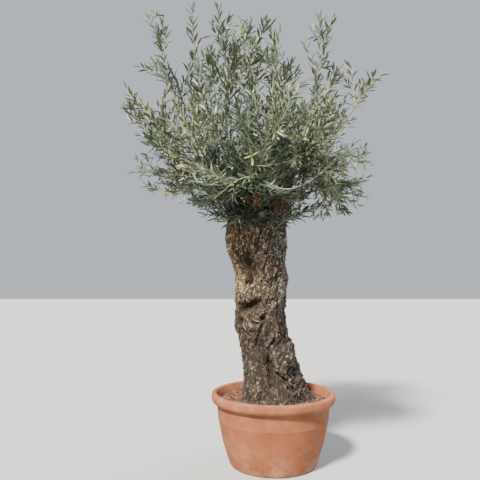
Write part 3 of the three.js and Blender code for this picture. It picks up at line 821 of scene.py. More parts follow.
def shoot_material(name, colour, pale, roughness):
    """The skin of a leader or a twig, with fine pale flecks."""
    material, tree, shader = new_material(name, roughness, 0.35)
    where = place(tree)
    set_colour(tree, shader, ramp(tree, grain(tree, where, 160, 4), [(0.35, colour), (0.7, pale)]))
    set_bump(tree, shader, grain(tree, where, 400, 3), 0.0006)
    return material


def leaf_material(name, colour, roughness, specular):
    """One face of a leaf in one tint, a little uneven from leaf to leaf."""
    material, tree, shader = new_material(name, roughness, specular)
    darker = [0.8 * part for part in colour]
    lighter = [min(1.0, 1.18 * part) for part in colour]
    pattern = grain(tree, place(tree), 38, 3)
    set_colour(tree, shader, ramp(tree, pattern, [(0.36, darker), (0.64, lighter)]))
    return material


def floor_material(looks):
    """A plain pale floor."""
    material, _, shader = new_material("pale_floor", 0.9, 0.2)
    shader.inputs["Base Color"].default_value = (*looks.floor, 1)
    return material


# Pot and soil

def pot_outside():
    """The pot's outer line from the foot to the shoulder."""
    shoulder = POT_TOP - RIM_BAND
    belly = [(between(FOOT_RADIUS, SHOULDER_RADIUS, out), shoulder * up) for up, out in BELLY]
    return [(FOOT_RADIUS, FOOT_ROUNDING), *belly, (SHOULDER_RADIUS, shoulder)]


def pot_inside():
    """The wall's inner line, from the floor to the lip."""
    sides = [(radius - WALL, height) for radius, height in pot_outside()[1:]]
    return [(FOOT_RADIUS - WALL, POT_FLOOR), *sides, (RIM_RADIUS - LIP, POT_TOP)]


def make_pot(looks):
    """The terracotta pot, a little uneven as thrown clay is."""
    profile = [
        (0, 0),
        (FOOT_RADIUS - FOOT_ROUNDING, 0),
        *pot_outside(),
        (RIM_RADIUS - RIM_DRAFT, POT_TOP - RIM_BAND),
        (RIM_RADIUS, POT_TOP - 0.75 * RIM_BAND),
        (RIM_RADIUS, POT_TOP - RIM_ROUNDING),
        (RIM_RADIUS - RIM_ROUNDING, POT_TOP),
        *reversed(pot_inside()),
        (0, POT_FLOOR),
    ]
    mesh = revolve("pot_skin", rounded(profile, POT_CORNERS), looks.pot_sides)
    for vertex in mesh.vertices:
        x, y, z = vertex.co
        radius = math.hypot(x, y)
        if radius > DENTED_FROM["axis"] and z > DENTED_FROM["floor"]:
            dent = DENTS["depth"] * (noise.noise(vertex.co * DENTS["scale"]) - 1)
            dent += THROWING_RIDGES["depth"] * math.sin(z * THROWING_RIDGES["scale"])
            vertex.co.x += x / radius * dent
            vertex.co.y += y / radius * dent
    piece = add_object("terracotta_pot", mesh, [terracotta_material(looks)])
    dress(piece, "terracotta", "pot")


def soil_height(x, y):
    """The soil's surface: flat in the middle and lower at the wall, with small lumps."""
    radius = math.hypot(x, y)
    fall = SOIL_EDGE_DROP * smooth_step(radius, SOIL_FLAT_RADIUS, RIM_RADIUS - LIP)
    lumps = noise.fractal(Vector((x, y, 0.3)) * SOIL_LUMPS["scale"], 0.9, 2.1, 4)
    return SOIL_TOP - fall - SOIL_LUMPS["sunk"] + SOIL_LUMPS["height"] * lumps


def make_soil(looks):
    """The compost, with bark chips strewn over it by geometry nodes."""
    heights, radii = zip(*[(height, radius) for radius, height in pot_inside()])

    def soil_radius(height):
        return np.interp(height, heights, radii) - SOIL_CLEARANCE

    bottom, edge = POT_FLOOR + SOIL_CLEARANCE, SOIL_TOP - SOIL_EDGE_DROP
    rings = SOIL_MESH["rings"]
    walls = [(soil_radius(height), height) for height in np.linspace(bottom, edge, SOIL_MESH["levels"])]
    surface = [(soil_radius(edge) * (1 - i / rings), edge) for i in range(1, rings + 1)]
    mesh = revolve("soil_skin", [(0, bottom), *walls, *surface], SOIL_MESH["sides"])
    for vertex in mesh.vertices:
        if vertex.co.z > edge - GAP:
            vertex.co.z = soil_height(vertex.co.x, vertex.co.y)
    piece = add_object("compost", mesh, [soil_material(looks)])
    dress(piece, "compost", "soil")
    strew_chips(looks, soil_radius(edge))


def chip_template(name, length, width, thickness, seed):
    """A splintered bark chip: a flat box with uneven corners."""
    random = sequence(seed)
    corners = []
    for x in (-0.5, 0.5):
        for y in (-0.5, 0.5):
            for z in (-0.5, 0.5):
                taper = between(0.55, 1.0, next(random))
                stretch = between(0.8, 1.1, next(random))
                corners.append((x * length * stretch, y * width * taper, z * thickness * taper))
    faces = [(0, 1, 3, 2), (4, 6, 7, 5), (0, 4, 5, 1), (2, 3, 7, 6), (0, 2, 6, 4), (1, 5, 7, 3)]
    return linked(name, as_mesh(name, corners, faces))


def chip_tree(chips):
    """Strews each kind of chip over a surface, turned and scaled at random."""
    kinds = [("Density", "Float"), ("Smallest", "Float"), ("Largest", "Float"), ("Tilt", "Float")]
    tree, given, result = new_tree("strewn_chips", kinds)
    ground, tilt = given["Geometry"], given["Tilt"]
    lean = times(tree, tilt, -1.0)
    low = add_node(tree, "ShaderNodeCombineXYZ", {"X": lean, "Y": lean, "Z": 0.0}).outputs[0]
    high = add_node(tree, "ShaderNodeCombineXYZ", {"X": tilt, "Y": tilt, "Z": 2 * math.pi}).outputs[0]
    heaps = add_node(tree, "GeometryNodeJoinGeometry")
    for number, (chip, material) in enumerate(chips):
        values = {"Mesh": ground, "Density": given["Density"], "Seed": SEEDS["chip_spots"] + number}
        spots = add_node(tree, "GeometryNodeDistributePointsOnFaces", values).outputs["Points"]
        values = {0: low, 1: high, "Seed": SEEDS["chip_turns"] + number}
        turn = add_node(tree, "FunctionNodeRandomValue", values, data_type="FLOAT_VECTOR").outputs[0]
        turned = add_node(tree, "FunctionNodeEulerToRotation", {"Euler": turn}).outputs[0]
        values = {2: given["Smallest"], 3: given["Largest"], "Seed": SEEDS["chip_sizes"] + number}
        size = add_node(tree, "FunctionNodeRandomValue", values, data_type="FLOAT").outputs[1]
        form = add_node(tree, "GeometryNodeObjectInfo", {"Object": chip}).outputs["Geometry"]
        values = {"Points": spots, "Instance": form, "Rotation": turned, "Scale": size}
        placed = add_node(tree, "GeometryNodeInstanceOnPoints", values).outputs[0]
        real = add_node(tree, "GeometryNodeRealizeInstances", {"Geometry": placed}).outputs[0]
        tree.links.new(with_material(tree, real, material), heaps.inputs[0])
    tree.links.new(heaps.outputs[0], result["Geometry"])
    return tree


def strew_chips(looks, soil_edge):
    """The mulch of bark chips on the soil."""
    spots = []
    rings, sides = MULCH["rings"], MULCH["sides"]
    for i in range(rings + 1):
        radius = between(MULCH["inner_radius"], soil_edge - MULCH["off_the_wall"], i / rings)
        for k in range(sides):
            turn = 2 * math.pi * k / sides
            x, y = radius * math.cos(turn), radius * math.sin(turn)
            spots.append((x, y, soil_height(x, y) + MULCH["lift"]))
    ground = linked("chip_ground", as_mesh("chip_ground", spots, ring_faces(rings + 1, sides)))
    skins = {
        "long_chip": chip_material("red_chip", looks.chip, looks.chip_pale),
        "broad_chip": chip_material("dark_chip", looks.soil, looks.chip),
        "splinter": chip_material("pale_chip", looks.chip, looks.splinter),
    }
    chips = [(chip_template(name, *sizes), skins[name]) for name, sizes in CHIPS.items()]
    mulch = run_nodes(ground, chip_tree(chips), "bark_mulch", {"Density": looks.chip_density, **CHIP_SPREAD})
    for chip, _ in chips:
        bpy.data.objects.remove(chip)
    dress(mulch, "compost", "soil")


# Trunk and arms

def trunk_shift(height):
    """How far the trunk's axis leans to the side."""
    return np.interp(height, LEAN_HEIGHTS, LEAN_SHIFTS)


def form_relief(forms, bearing, height):
    """The burls and hollows at a bearing and a height."""
    relief = 0.0
    for centre, width, level, tall, depth in forms.values():
        turn = bearing - math.radians(centre)
        across = np.arctan2(np.sin(turn), np.cos(turn)) / math.radians(width)
        relief = relief + depth * np.exp(-across ** 2 - ((height - level) / tall) ** 2)
    return relief


def crease_share(width, points, bearing, height):
    """How deep in a crease each place lies, from 0 beside it to 1 on its line."""
    turns = np.radians([p[0] for p in points])
    middle = turns.mean()
    across = np.arctan2(np.sin(bearing - middle), np.cos(bearing - middle)) * TRUNK_WAIST
    line = [(turn * TRUNK_WAIST, 0.0, level) for turn, (_, level) in zip(turns - middle, points)]
    near = np.abs(across) < (np.ptp(turns) / 2 + 0.3) * TRUNK_WAIST
    share = np.zeros(len(bearing))
    places = np.stack((across[near], np.zeros(near.sum()), height[near]), axis=1)
    share[near] = np.exp(-(line_distance(line, places) / width) ** 2)
    return share


def bark_radius(bearing, height):
    """The source's bark: taper, root lobes, winding flutes, burls and hollows."""
    flare = math.exp(-(height - TRUNK_FOOT) / FLARE_HEIGHT)
    radius = TRUNK_WAIST + FLARE * flare + HEAD_SWELLING * smooth_step(height, SWELLS_FROM, SWELLS_TO)
    radius += ROOT_DEPTH * flare * np.cos(ROOTS * bearing + 0.6)
    for count, depth, pitch in FLUTES:
        radius = radius + depth * np.cos(count * bearing + height / pitch)
    return radius + form_relief(BARK_FORMS, bearing, height)


def trunk_core(work):
    """Adds the plain trunk to a mesh that the bark is made from."""
    heights = np.linspace(TRUNK_FOOT - CORE_SUNK, TRUNK_SHOULDER, CORE["trunk_levels"])
    levels = [(1.0, height) for height in heights]
    for turn in np.radians((15, 30, 45, 60, 75)):
        levels.append((math.cos(turn), between(TRUNK_SHOULDER, TRUNK_FORK, math.sin(turn))))
    bearings = np.linspace(0, 2 * math.pi, CORE["trunk_sides"], endpoint=False)
    rows = []
    for share, height in levels:
        radii = bark_radius(bearings, min(max(height, TRUNK_FOOT), TRUNK_SHOULDER)) * share
        shift = trunk_shift(height)
        ring = [(shift + r * math.cos(b), r * math.sin(b), height) for r, b in zip(radii, bearings)]
        rows.append([work.verts.new(spot) for spot in ring])
    close_rows(work, rows)


def close_rows(work, rows):
    """Joins rings of vertices into a closed skin with flat ends."""
    sides = len(rows[0])
    for low, high in zip(rows, rows[1:]):
        for i in range(sides):
            j = (i + 1) % sides
            work.faces.new((low[i], low[j], high[j], high[i]))
    work.faces.new(list(reversed(rows[0])))
    work.faces.new(rows[-1])


def square(heading, angle=0.0):
    """A unit vector square to a heading, turned about it by an angle."""
    reference = Vector((1, 0, 0)) if abs(heading.z) > 0.95 else UP
    side = heading.cross(reference).normalized()
    side.rotate(Quaternion(heading, angle))
    return side


def tube(work, points, radii, sides):
    """Adds a closed tube through the points, with a radius at each."""
    rows = []
    side = None
    for i, point in enumerate(points):
        heading = (points[min(i + 1, len(points) - 1)] - points[max(i - 1, 0)]).normalized()
        side = (side - heading * side.dot(heading)).normalized() if side else square(heading)
        other = heading.cross(side)
        turns = [2 * math.pi * k / sides for k in range(sides)]
        ring = [point + (side * math.cos(t) + other * math.sin(t)) * radii[i] for t in turns]
        rows.append([work.verts.new(spot) for spot in ring])
    close_rows(work, rows)


def arm_point(spec, share):
    """A point on an arm's bowed line."""
    base, tip = Vector(spec["base"]), Vector(spec["tip"])
    outward = Vector((base.x - HEAD_AXIS.x, base.y - HEAD_AXIS.y, 0)).normalized()
    bow = ARM_BOW * (tip - base).length * 4 * share * (1 - share)
    return base.lerp(tip, share) + outward * bow


def arm_radius(spec, share):
    """The source's taper, which runs evenly over its rings."""
    return float(np.interp(share, ARM_RINGS, np.linspace(*spec["radii"], len(ARM_RINGS))))


def arm_core(work, spec, leaders):
    """Adds one arm, its lumpy knuckle and the stubs under its shoots."""
    shares = np.linspace(ARM_RINGS[0], ARM_RINGS[-1], CORE["arm_levels"])
    collar = [COLLAR["height"] * math.exp(-((s - COLLAR["at"]) / COLLAR["width"]) ** 2) for s in shares]
    radii = [arm_radius(spec, s) + swelling for s, swelling in zip(shares, collar)]
    tube(work, [arm_point(spec, s) for s in shares], radii, CORE["arm_sides"])
    centre = Vector(spec["tip"])
    knots = [(centre, spec["knuckle"])]
    for leader in leaders:
        aim = (leader[1] - leader[0]).normalized()
        foot = leader[0] - aim * GAP
        tube(work, [centre, foot - aim * STUB, foot], STUB_RADII, CORE["stub_sides"])
        knots.append((centre + (foot - centre) * KNOT["at"], KNOT["radius"]))
    for middle, radius in knots:
        made = bmesh.ops.create_uvsphere(work, u_segments=16, v_segments=10, radius=radius)
        bmesh.ops.translate(work, verts=made["verts"], vec=middle)


def turned_grain(places):
    """The points as the grain has them: wound round the burls, so that the bark's strands swirl."""
    wound = places.astype(float)
    for bearing, height, reach, turn in SWIRLS:
        angle = math.radians(bearing)
        out = np.array((math.cos(angle), math.sin(angle), 0))
        centre = out * bark_radius(angle, height) + (trunk_shift(height), 0, height)
        away = wound - centre
        turns = math.radians(turn) * np.exp(-(away ** 2).sum(1) / reach ** 2)[:, None]
        level = (away @ out)[:, None] * out
        across = away * np.cos(turns) + np.cross(out, away) * np.sin(turns)
        wound = centre + across + level * (1 - np.cos(turns))
    return wound


def in_pattern(name, x, y, z):
    """A place in one of the bark's patterns."""
    across, along_grain = PATTERNS[name]
    return Vector((x * across, y * across, z * along_grain))


def bark_patterns(wound):
    """For each point: soft lumps, knobs, long fissures, short splits, scale edges and each scale's tone."""
    noise.seed_set(SEEDS["bark"])
    tilt = Euler((0.7, 0.5, 0.3)).to_matrix()
    rows = []
    for x, y, z in wound.tolist():
        wide = noise.noise_vector(in_pattern("wide bend", x, y, z))
        small = noise.noise_vector(in_pattern("small bend", x, y, z))
        bend = WIDE_BEND * wide + SMALL_BEND * small
        u, v, w = x + bend.x, y + bend.y, z + bend.z
        gaps, seeds = noise.voronoi(in_pattern("scales", u, v, w))
        rows.append((
            noise.fractal(tilt @ Vector((x, y, z)) * LUMPS_PER_METRE, 0.8, 2.1, 3),
            0.45 - noise.voronoi(in_pattern("knobs", u, v, w))[0][0],
            abs(noise.noise(tilt @ in_pattern("fissures", u, v, w))),
            abs(noise.noise(tilt @ in_pattern("splits", u, v, w))),
            gaps[1] - gaps[0],
            noise.cell(seeds[0] * 3.7),
        ))
    return np.array(rows).T


def make_bark(looks, leaders):
    """One skin of bark over the trunk and its arms, remeshed and then carved in relief."""
    work = bmesh.new()
    trunk_core(work)
    for name, spec in ARMS.items():
        arm_core(work, spec, [line for line, mass in zip(leaders, MASSES) if mass["arm"] == name])
    mesh = bpy.data.meshes.new("bark_core")
    work.to_mesh(mesh)
    work.free()
    core = add_object("bark_core", mesh)
    remesh = core.modifiers.new("one skin", "REMESH")
    remesh.mode = "VOXEL"
    remesh.voxel_size = looks.voxel
    soften = core.modifiers.new("soften", "SMOOTH")
    soften.factor = 0.5
    soften.iterations = 5
    dense = bake_modifiers(core, "bark")
    carve_bark(dense.data, looks)
    thin = dense.modifiers.new("fewer faces", "DECIMATE")
    thin.ratio = looks.kept_faces
    piece = bake_modifiers(dense, "olive_bark")
    piece.data.materials.append(bark_material(looks))
    piece.data.polygons.foreach_set("use_smooth", [True] * len(piece.data.polygons))
    dress(piece, "bark", "trunk", *ARMS)


def carve_creases(bearings, heights, knobs, lumps):
    """How deep the winding creases cut, and how far inside one each point lies."""
    wobble = 0.035 * knobs + 0.030 * lumps
    cut = np.zeros(len(heights))
    creased = np.zeros(len(heights))
    for width, depth, points in CREASES.values():
        share = crease_share(width, points, bearings + wobble, heights + 0.2 * wobble)
        share = share * np.clip(0.9 + 1.6 * lumps, 0.4, 1)
        cut = cut + depth * share
        creased = np.maximum(creased, share)
    return cut, creased


def carve_bark(mesh, looks):
    """Moves the skin's points along their normals, and stores what the bark's colours follow, painted shade
    and highlight among them.
    """
    count = len(mesh.vertices)
    places = np.empty(count * 3, dtype=np.float32)
    normals = np.empty(count * 3, dtype=np.float32)
    mesh.vertices.foreach_get("co", places)
    mesh.vertices.foreach_get("normal", normals)
    places, normals = places.reshape(-1, 3), normals.reshape(-1, 3)
    heights = places[:, 2]
    bearings = np.arctan2(places[:, 1], places[:, 0] - trunk_shift(heights))
    wound = turned_grain(places)
    lumps, knobs, strands, splits, edges, tones = bark_patterns(wound)
    low = 1 - smooth_step(heights, *SMOOTHER_BARK)
    on_trunk = 1 - smooth_step(heights, *TRUNK_DETAILS_END)
    fissures = 1 - smooth_step(strands, 0.01, 0.15)
    splits = 1 - smooth_step(splits, 0.0, 0.12)
    cracks = 1 - smooth_step(edges, 0.03, 0.30)
    cut, creased = carve_creases(bearings, heights, knobs, lumps)
    details = (form_relief(BARK_DETAILS, bearings, heights) - cut) * on_trunk
    relief = RELIEF["skin"] + RELIEF["lumps"] * lumps + RELIEF["knobs"] * knobs * (0.35 + 0.65 * low)
    shallower = 1 - 0.35 * low
    relief -= CUTS["fissures"] * fissures * shallower + CUTS["splits"] * splits + CUTS["cracks"] * cracks
    depth = (relief * looks.relief + details)[:, None]
    mesh.vertices.foreach_set("co", (places + normals * depth).astype(np.float32).ravel())

    # Painted shade: the colour is darkened in the fissures, splits, cracks, hollows and creases, where shade
    # falls
    hollows = {name: form for name, form in {**BARK_FORMS, **BARK_DETAILS}.items() if form[4] < 0}
    sunk = np.clip(-form_relief(hollows, bearings, heights) * on_trunk / 0.020, 0, 1) ** 1.6
    crevice_shade = 1 - (1 - 0.9 * fissures ** 1.3) * (1 - 0.4 * splits) * (1 - 0.8 * cracks ** 1.4)
    crevice_shade = 1 - (1 - crevice_shade) * (1 - 0.65 * sunk) * (1 - 0.85 * creased * on_trunk)
    raised = np.clip(details / 0.012, 0, 1)
    # Painted shade and light: dark places under overhangs and in hollows and holes, pale places on burls,
    # knobs and the brow, with staining; darker towards the bottom of the trunk
    stains_and_painted_light = form_relief(BARK_STAINS_AND_PAINTED_LIGHT, bearings, heights) * on_trunk
    # Painted highlight and wear: knobs, pale cells, raised forms and the pale bark places go paler, as worn
    # ridges and as where light falls
    ridge_wear_and_highlight = 0.5 * np.clip(knobs * 2.2, 0, 1) + 0.6 * tones ** 2 + 0.5 * raised
    ridge_wear_and_highlight = 0.28 * (1 - low) + ridge_wear_and_highlight * (1 - 0.40 * low) + 0.8 * np.clip(stains_and_painted_light, 0, 1)
    ridge_wear_and_highlight = np.clip(ridge_wear_and_highlight, 0, 1) * (1 - crevice_shade)
    stained_and_shaded = np.clip(-stains_and_painted_light * (1.05 + 1.4 * lumps), 0, 1)
    crevice_shade = 1 - (1 - crevice_shade) * (1 - 0.35 * stained_and_shaded) * (1 - 0.40 * low * (1 - tones))
    # Warmth: warmer higher up, and painted light, warm on the sunlit side and grey on the side in shade
    sunlit_warm_side = 0.5 - 0.5 * np.cos(bearings - SHADED_GREY_SIDE)
    warm_height = 0.35 + 0.65 * smooth_step(heights, *WARMER_BARK)
    warmth = np.clip(warm_height * (0.2 + 1.15 * sunlit_warm_side) + 0.5 * lumps, 0, 1)
    rust = 0.8 * smooth_step(heights, *RUSTY_BARK) * np.clip(0.75 + lumps, 0, 1)
    set_values(mesh, "crevice_shade", "FLOAT", crevice_shade)
    set_values(mesh, "ridge_wear_and_highlight", "FLOAT", ridge_wear_and_highlight * (1 - 0.45 * rust))
    set_values(mesh, "warmth", "FLOAT", warmth)
    set_values(mesh, "rust", "FLOAT", rust)
    set_values(mesh, "stain_and_shade", "FLOAT", np.maximum(stained_and_shaded, 0.58 * low))
    set_values(mesh, "grain", "FLOAT_VECTOR", wound)


# Growth: the source's rule, carried on to finer twigs

def launch(mass):
    """Where a mass's leader starts, which way it sets off, and where it ends."""
    centre = Vector(ARMS[mass["arm"]]["tip"])
    bearing = math.radians(mass["bearing"])
    tip = Vector((
        HEAD_AXIS.x + mass["reach"] * math.cos(bearing),
        HEAD_AXIS.y + mass["reach"] * math.sin(bearing),
        mass["top"],
    ))
    away = tip - centre
    aim = Vector((away.x * LEADER["splay"], away.y * LEADER["splay"], away.z)).normalized()
    return centre + aim * (ARMS[mass["arm"]]["knuckle"] + STUB), aim, tip


def leader_line(mass, index, steps):
    """The points of a leader's curve."""
    random = seeded("leaders", index)
    foot, aim, tip = launch(mass)
    span = (tip - foot).length
    control = foot + aim * (span * LEADER["turn"]) + UP * (span * mass["arch"])
    control += square(aim, next(random) * 2 * math.pi) * (span * LEADER["sway"])
    shares = [i / steps for i in range(steps + 1)]
    return [foot.lerp(control, s).lerp(control.lerp(tip, s), s) for s in shares]


def all_leaders():
    """The leaders of all masses, with the source's points."""
    return [leader_line(mass, i, LEADER["steps"]) for i, mass in enumerate(MASSES)]


def along(points, share):
    """A point on a line of points and the direction there."""
    steps = len(points) - 1
    i = min(int(share * steps), steps - 1)
    return points[i].lerp(points[i + 1], share * steps - i), (points[i + 1] - points[i]).normalized()


def shoot_line(mass, leader, share, side_turn, stretch):
    """A shoot: a short line of points off the leader that turns upwards."""
    point, heading = along(leader, share)
    angle = between(*SHOOT["angles"], share)
    side = square(heading, side_turn)
    length = mass["spread"] * (1 - SHOOT["taper"] * share) * stretch
    direction = heading * math.cos(angle) + side * math.sin(angle)
    points = [point]
    for _ in range(SHOOT["steps"]):
        direction = (direction + UP * mass["lift"]).normalized()
        points.append(points[-1] + direction * (length / SHOOT["steps"]))
    return points


def drawn_shoot(mass, leader, index, count, first, random):
    """One draw of a shoot, in the source's order of draws."""
    share = between(first, SHOOT["last"], (index + 0.7 * next(random)) / count)
    side_turn = index * GOLDEN_ANGLE + 2 * next(random)
    return shoot_line(mass, leader, share, side_turn, 0.75 + 0.5 * next(random))


def segments(points):
    """The start and the span of each stretch of a line, as arrays."""
    array = as_array(points)
    return array[:-1], array[1:] - array[:-1]


def line_distance(line, points):
    """The distance from each point to a line of points."""
    starts, spans = segments(line)
    away = points[:, None, :] - starts[None]
    share = np.clip((away * spans).sum(2) / (spans ** 2).sum(1), 0, 1)
    return np.linalg.norm(away - share[..., None] * spans[None], axis=2).min(1)


def clear_of_limbs(points, rooms=MASS_ROOM):
    """Whether each point keeps off the arms and the trunk."""
    arm_room, trunk_room = rooms
    clear = np.ones(len(points), dtype=bool)
    for spec in ARMS.values():
        line = [arm_point(spec, share) for share in (0, 0.5, 1)]
        clear &= line_distance(line, points) > spec["radii"][0] + arm_room
    from_axis = np.hypot(points[:, 0] - HEAD_AXIS.x, points[:, 1] - HEAD_AXIS.y)
    above_trunk = points[:, 2] > TRUNK_FORK + ROOM_BESIDE_LIMBS
    return clear & (above_trunk | (from_axis > TRUNK_WAIST + trunk_room))


def in_the_open(points, hang=0.0):
    """Whether each point is in the crown's reach, above its lower edge less what may hang, and in no gap."""
    low, high = np.array(CAD_BOX[0]) - OPEN_MARGIN, np.array(CAD_BOX[1]) + OPEN_MARGIN
    open_air = (points > low).all(1) & (points < high).all(1)
    reach = np.hypot(points[:, 0] - HEAD_AXIS.x, points[:, 1] - HEAD_AXIS.y)
    edge = between(*SKIRT["heights"], smooth_step(reach, *SKIRT["reaches"]))
    open_air &= points[:, 2] > edge - hang - SKIRT["fall"] * (points[:, 0] - HEAD_AXIS.x)
    for middle, half in CLEARINGS.values():
        open_air &= (((points - middle) / half) ** 2).sum(1) > 1
    return open_air


def as_array(points):
    """Points as rows of numbers."""
    return np.array([tuple(point) for point in points])


def shortened(points):
    """The part of a line before it leaves the open."""
    stays = in_the_open(as_array(points))
    return points if stays.all() else points[:int(np.argmin(stays))]


def keeps_to_its_space(points, own, leaders):
    """Whether all points lie nearer to their own leader than to any other, and off the limbs."""
    points = as_array(points)
    away = np.array([line_distance(line, points) for line in leaders])
    home = away[own].copy()
    away[own] = np.inf
    inside = (away > home + ROOM_BETWEEN_MASSES) & (away > LEADER["radii"][0] + ROOM_BESIDE_LIMBS)
    return bool(inside.all() and clear_of_limbs(points).all())


def first_fit(draw, fits):
    """The first of a few draws that fits, or nothing."""
    for _ in range(DRAWS):
        drawn = draw()
        if fits(drawn):
            return [drawn]
    return []


def smooth_line(points, per_stretch):
    """A curve through the points."""
    padded = [points[0] * 2 - points[1], *points, points[-1] * 2 - points[-2]]
    result = []
    for i in range(1, len(padded) - 2):
        a, b, c, d = padded[i - 1:i + 3]
        for k in range(per_stretch):
            t = k / per_stretch
            result.append(0.5 * (2 * b + (c - a) * t + (2 * a - 5 * b + 4 * c - d) * t ** 2
                                 + (3 * b - a - 3 * c + d) * t ** 3))
    return result + [points[-1]]


def line_length(points):
    """The length of a line of points."""
    return sum((b - a).length for a, b in zip(points, points[1:]))


def carried_on(points, lift, length):
    """A shoot that grows on past its last point."""
    heading = (points[-1] - points[-2]).normalized()
    return points + [points[-1] + (heading + UP * lift * 0.6).normalized() * length]


def bent_twig(start, direction, reach, lift, sway, random):
    """A short twig of three stretches that bends up or down as it goes."""
    points = [start]
    for _ in range(3):
        shake = Vector((next(random) - 0.5, next(random) - 0.5, next(random) - 0.5)) * sway
        direction = (direction + UP * lift + shake).normalized()
        points.append(points[-1] + direction * (reach / 3))
    return points


def side_twigs(parent, spacing, length, lift, first, random):
    """Finer twigs along a shoot, on all its sides in turn."""
    twigs = []
    count = int(line_length(parent) * (1 - first) / spacing)
    for i in range(count):
        share = between(first, TWIG["last"], (i + next(random)) / count)
        point, heading = along(parent, share)
        side = square(heading, i * GOLDEN_ANGLE + 1.5 * next(random))
        direction = heading * math.cos(TWIG["angle"]) + side * math.sin(TWIG["angle"])
        reach = length * (1.15 - 0.6 * share) * between(0.6, 1.25, next(random))
        twigs.append(bent_twig(point, direction, reach, lift, TWIG["sway"], random))
    return twigs


def arm_sprigs(spec, random):
    """Leafy sprigs that break from an arm's old bark, on all its sides in turn."""
    sprigs = []
    heading = (Vector(spec["tip"]) - Vector(spec["base"])).normalized()
    for i in range(ARM_SPRIG["count"]):
        share = between(ARM_SPRIG["first"], 1.0, (i + next(random)) / ARM_SPRIG["count"])
        side = square(heading, i * GOLDEN_ANGLE + next(random))
        start = arm_point(spec, share) + side * (0.9 * arm_radius(spec, share))
        reach = between(ARM_SPRIG["shortest"], ARM_SPRIG["longest"], next(random))
        aim = (side + heading * 0.3).normalized()
        sprigs.append(bent_twig(start, aim, reach, ARM_SPRIG["rise"], ARM_SPRIG["sway"], random))
    return sprigs


def tuft(spec, looks, random):
    """Shoots on all sides of an arm's knuckle, with their side twigs."""
    shoots = []
    for i in range(TUFT["shoots"]):
        level = between(TUFT["lowest"], TUFT["highest"], (i + 0.5) / TUFT["shoots"])
        turn = i * GOLDEN_ANGLE + next(random)
        wide = math.sqrt(1 - level ** 2)
        out = Vector((wide * math.cos(turn), wide * math.sin(turn), level))
        start = Vector(spec["tip"]) + out * (0.9 * spec["knuckle"])
        reach = between(TUFT["shortest"], TUFT["longest"], next(random))
        shoots.append(bent_twig(start, out, reach, TUFT["rise"], TUFT["sway"], random))
    twigs = []
    length = TUFT_TWIG["length"] * looks.twig_length
    for shoot in shoots:
        twigs += side_twigs(shoot, looks.twig_spacing, length, TUFT_TWIG["rise"], TUFT_TWIG["first"], random)
    return shoots + twigs


def trunk_sprigs(random):
    """Leafy sprigs that break from the trunk, most of them round its head."""
    sprigs = []
    for bearing, height, reach, rise in TRUNK_SPRIGS:
        angle = math.radians(bearing)
        out = Vector((math.cos(angle), math.sin(angle), 0))
        radius = float(bark_radius(angle, min(height, TRUNK_SHOULDER)))
        sunk = 0.95 if height < TRUNK_SHOULDER else 0.85
        start = out * (radius * sunk) + Vector((trunk_shift(height), 0, height))
        aim = (out + UP * 0.3).normalized()
        sprigs.append(bent_twig(start, aim, reach, rise, TRUNK_SPRIG_SWAY, random))
    return sprigs


def bowed_whips(mass, leader):
    """The long whips that bow out of a mass, each with how far apart its leaves are."""
    whips = []
    for name, share, spacing, path in WHIPS:
        if name == mass["name"]:
            points = [along(leader, share)[0], *map(Vector, path)]
            whips.append((smooth_line(points, 4), spacing))
    return whips


def grow_mass(mass, index, leaders, looks):
    """All wood of one mass: its leader, the source's shoots, further shoots, whips and side twigs."""
    def fits(points):
        return keeps_to_its_space(points[1:], index, leaders)

    def fits_in_the_open(points):
        return fits(points) and bool(in_the_open(as_array(points)).all())

    def new_shoots(count, first, random, fitting):
        made = []
        for i in range(count):
            made += first_fit(lambda: drawn_shoot(mass, leaders[index], i, count, first, random), fitting)
        return made

    finer = seeded("finer", index)
    shoots = new_shoots(SHOOT["per_mass"], SHOOT["first"], seeded("foliage", index), fits)
    further = round(looks.extra_shoots * mass["full"])
    shoots += new_shoots(further, FURTHER_SHOOTS_FROM, finer, fits_in_the_open)
    leader = leader_line(mass, index, FINE_LEADER_STEPS)
    lift, growth = mass["lift"], looks.tip_growth * mass["growth"]
    shoots = [shortened(smooth_line(carried_on(points, lift, growth), 4)) for points in shoots]
    shoots.append(shortened(smooth_line(carried_on(leader[-4:], lift, mass["tip"]), 3)))
    shoots = [points for points in shoots if len(points) > 3]
    spacing = looks.twig_spacing / math.sqrt(mass["full"])
    twigs = side_twigs(leader, spacing, looks.twig_length, lift, TWIG["on_leader"], finer)
    for shoot in shoots:
        twigs += side_twigs(shoot, spacing, looks.twig_length, lift, TWIG["on_shoot"], finer)
    twigs = [points for points in map(shortened, twigs) if len(points) > 2]
    twigs = [smooth_line(points, 2) for points in twigs if clear_of_limbs(as_array(points)).all()]
    return {"leader": leader, "shoots": shoots, "whips": bowed_whips(mass, leader), "twigs": twigs}


def wood_lines(grown):
    """Each line of a mass's wood with its radii at both ends and its skin."""
    lines = [(grown["leader"], *LEADER["radii"], OLD)]
    lines += [(points, *SHOOT_WOOD) for points in grown["shoots"]]
    lines += [(points, *WHIP_WOOD) for points, _ in grown["whips"]]
    return lines + [(points, *TWIG_WOOD) for points in grown["twigs"]]


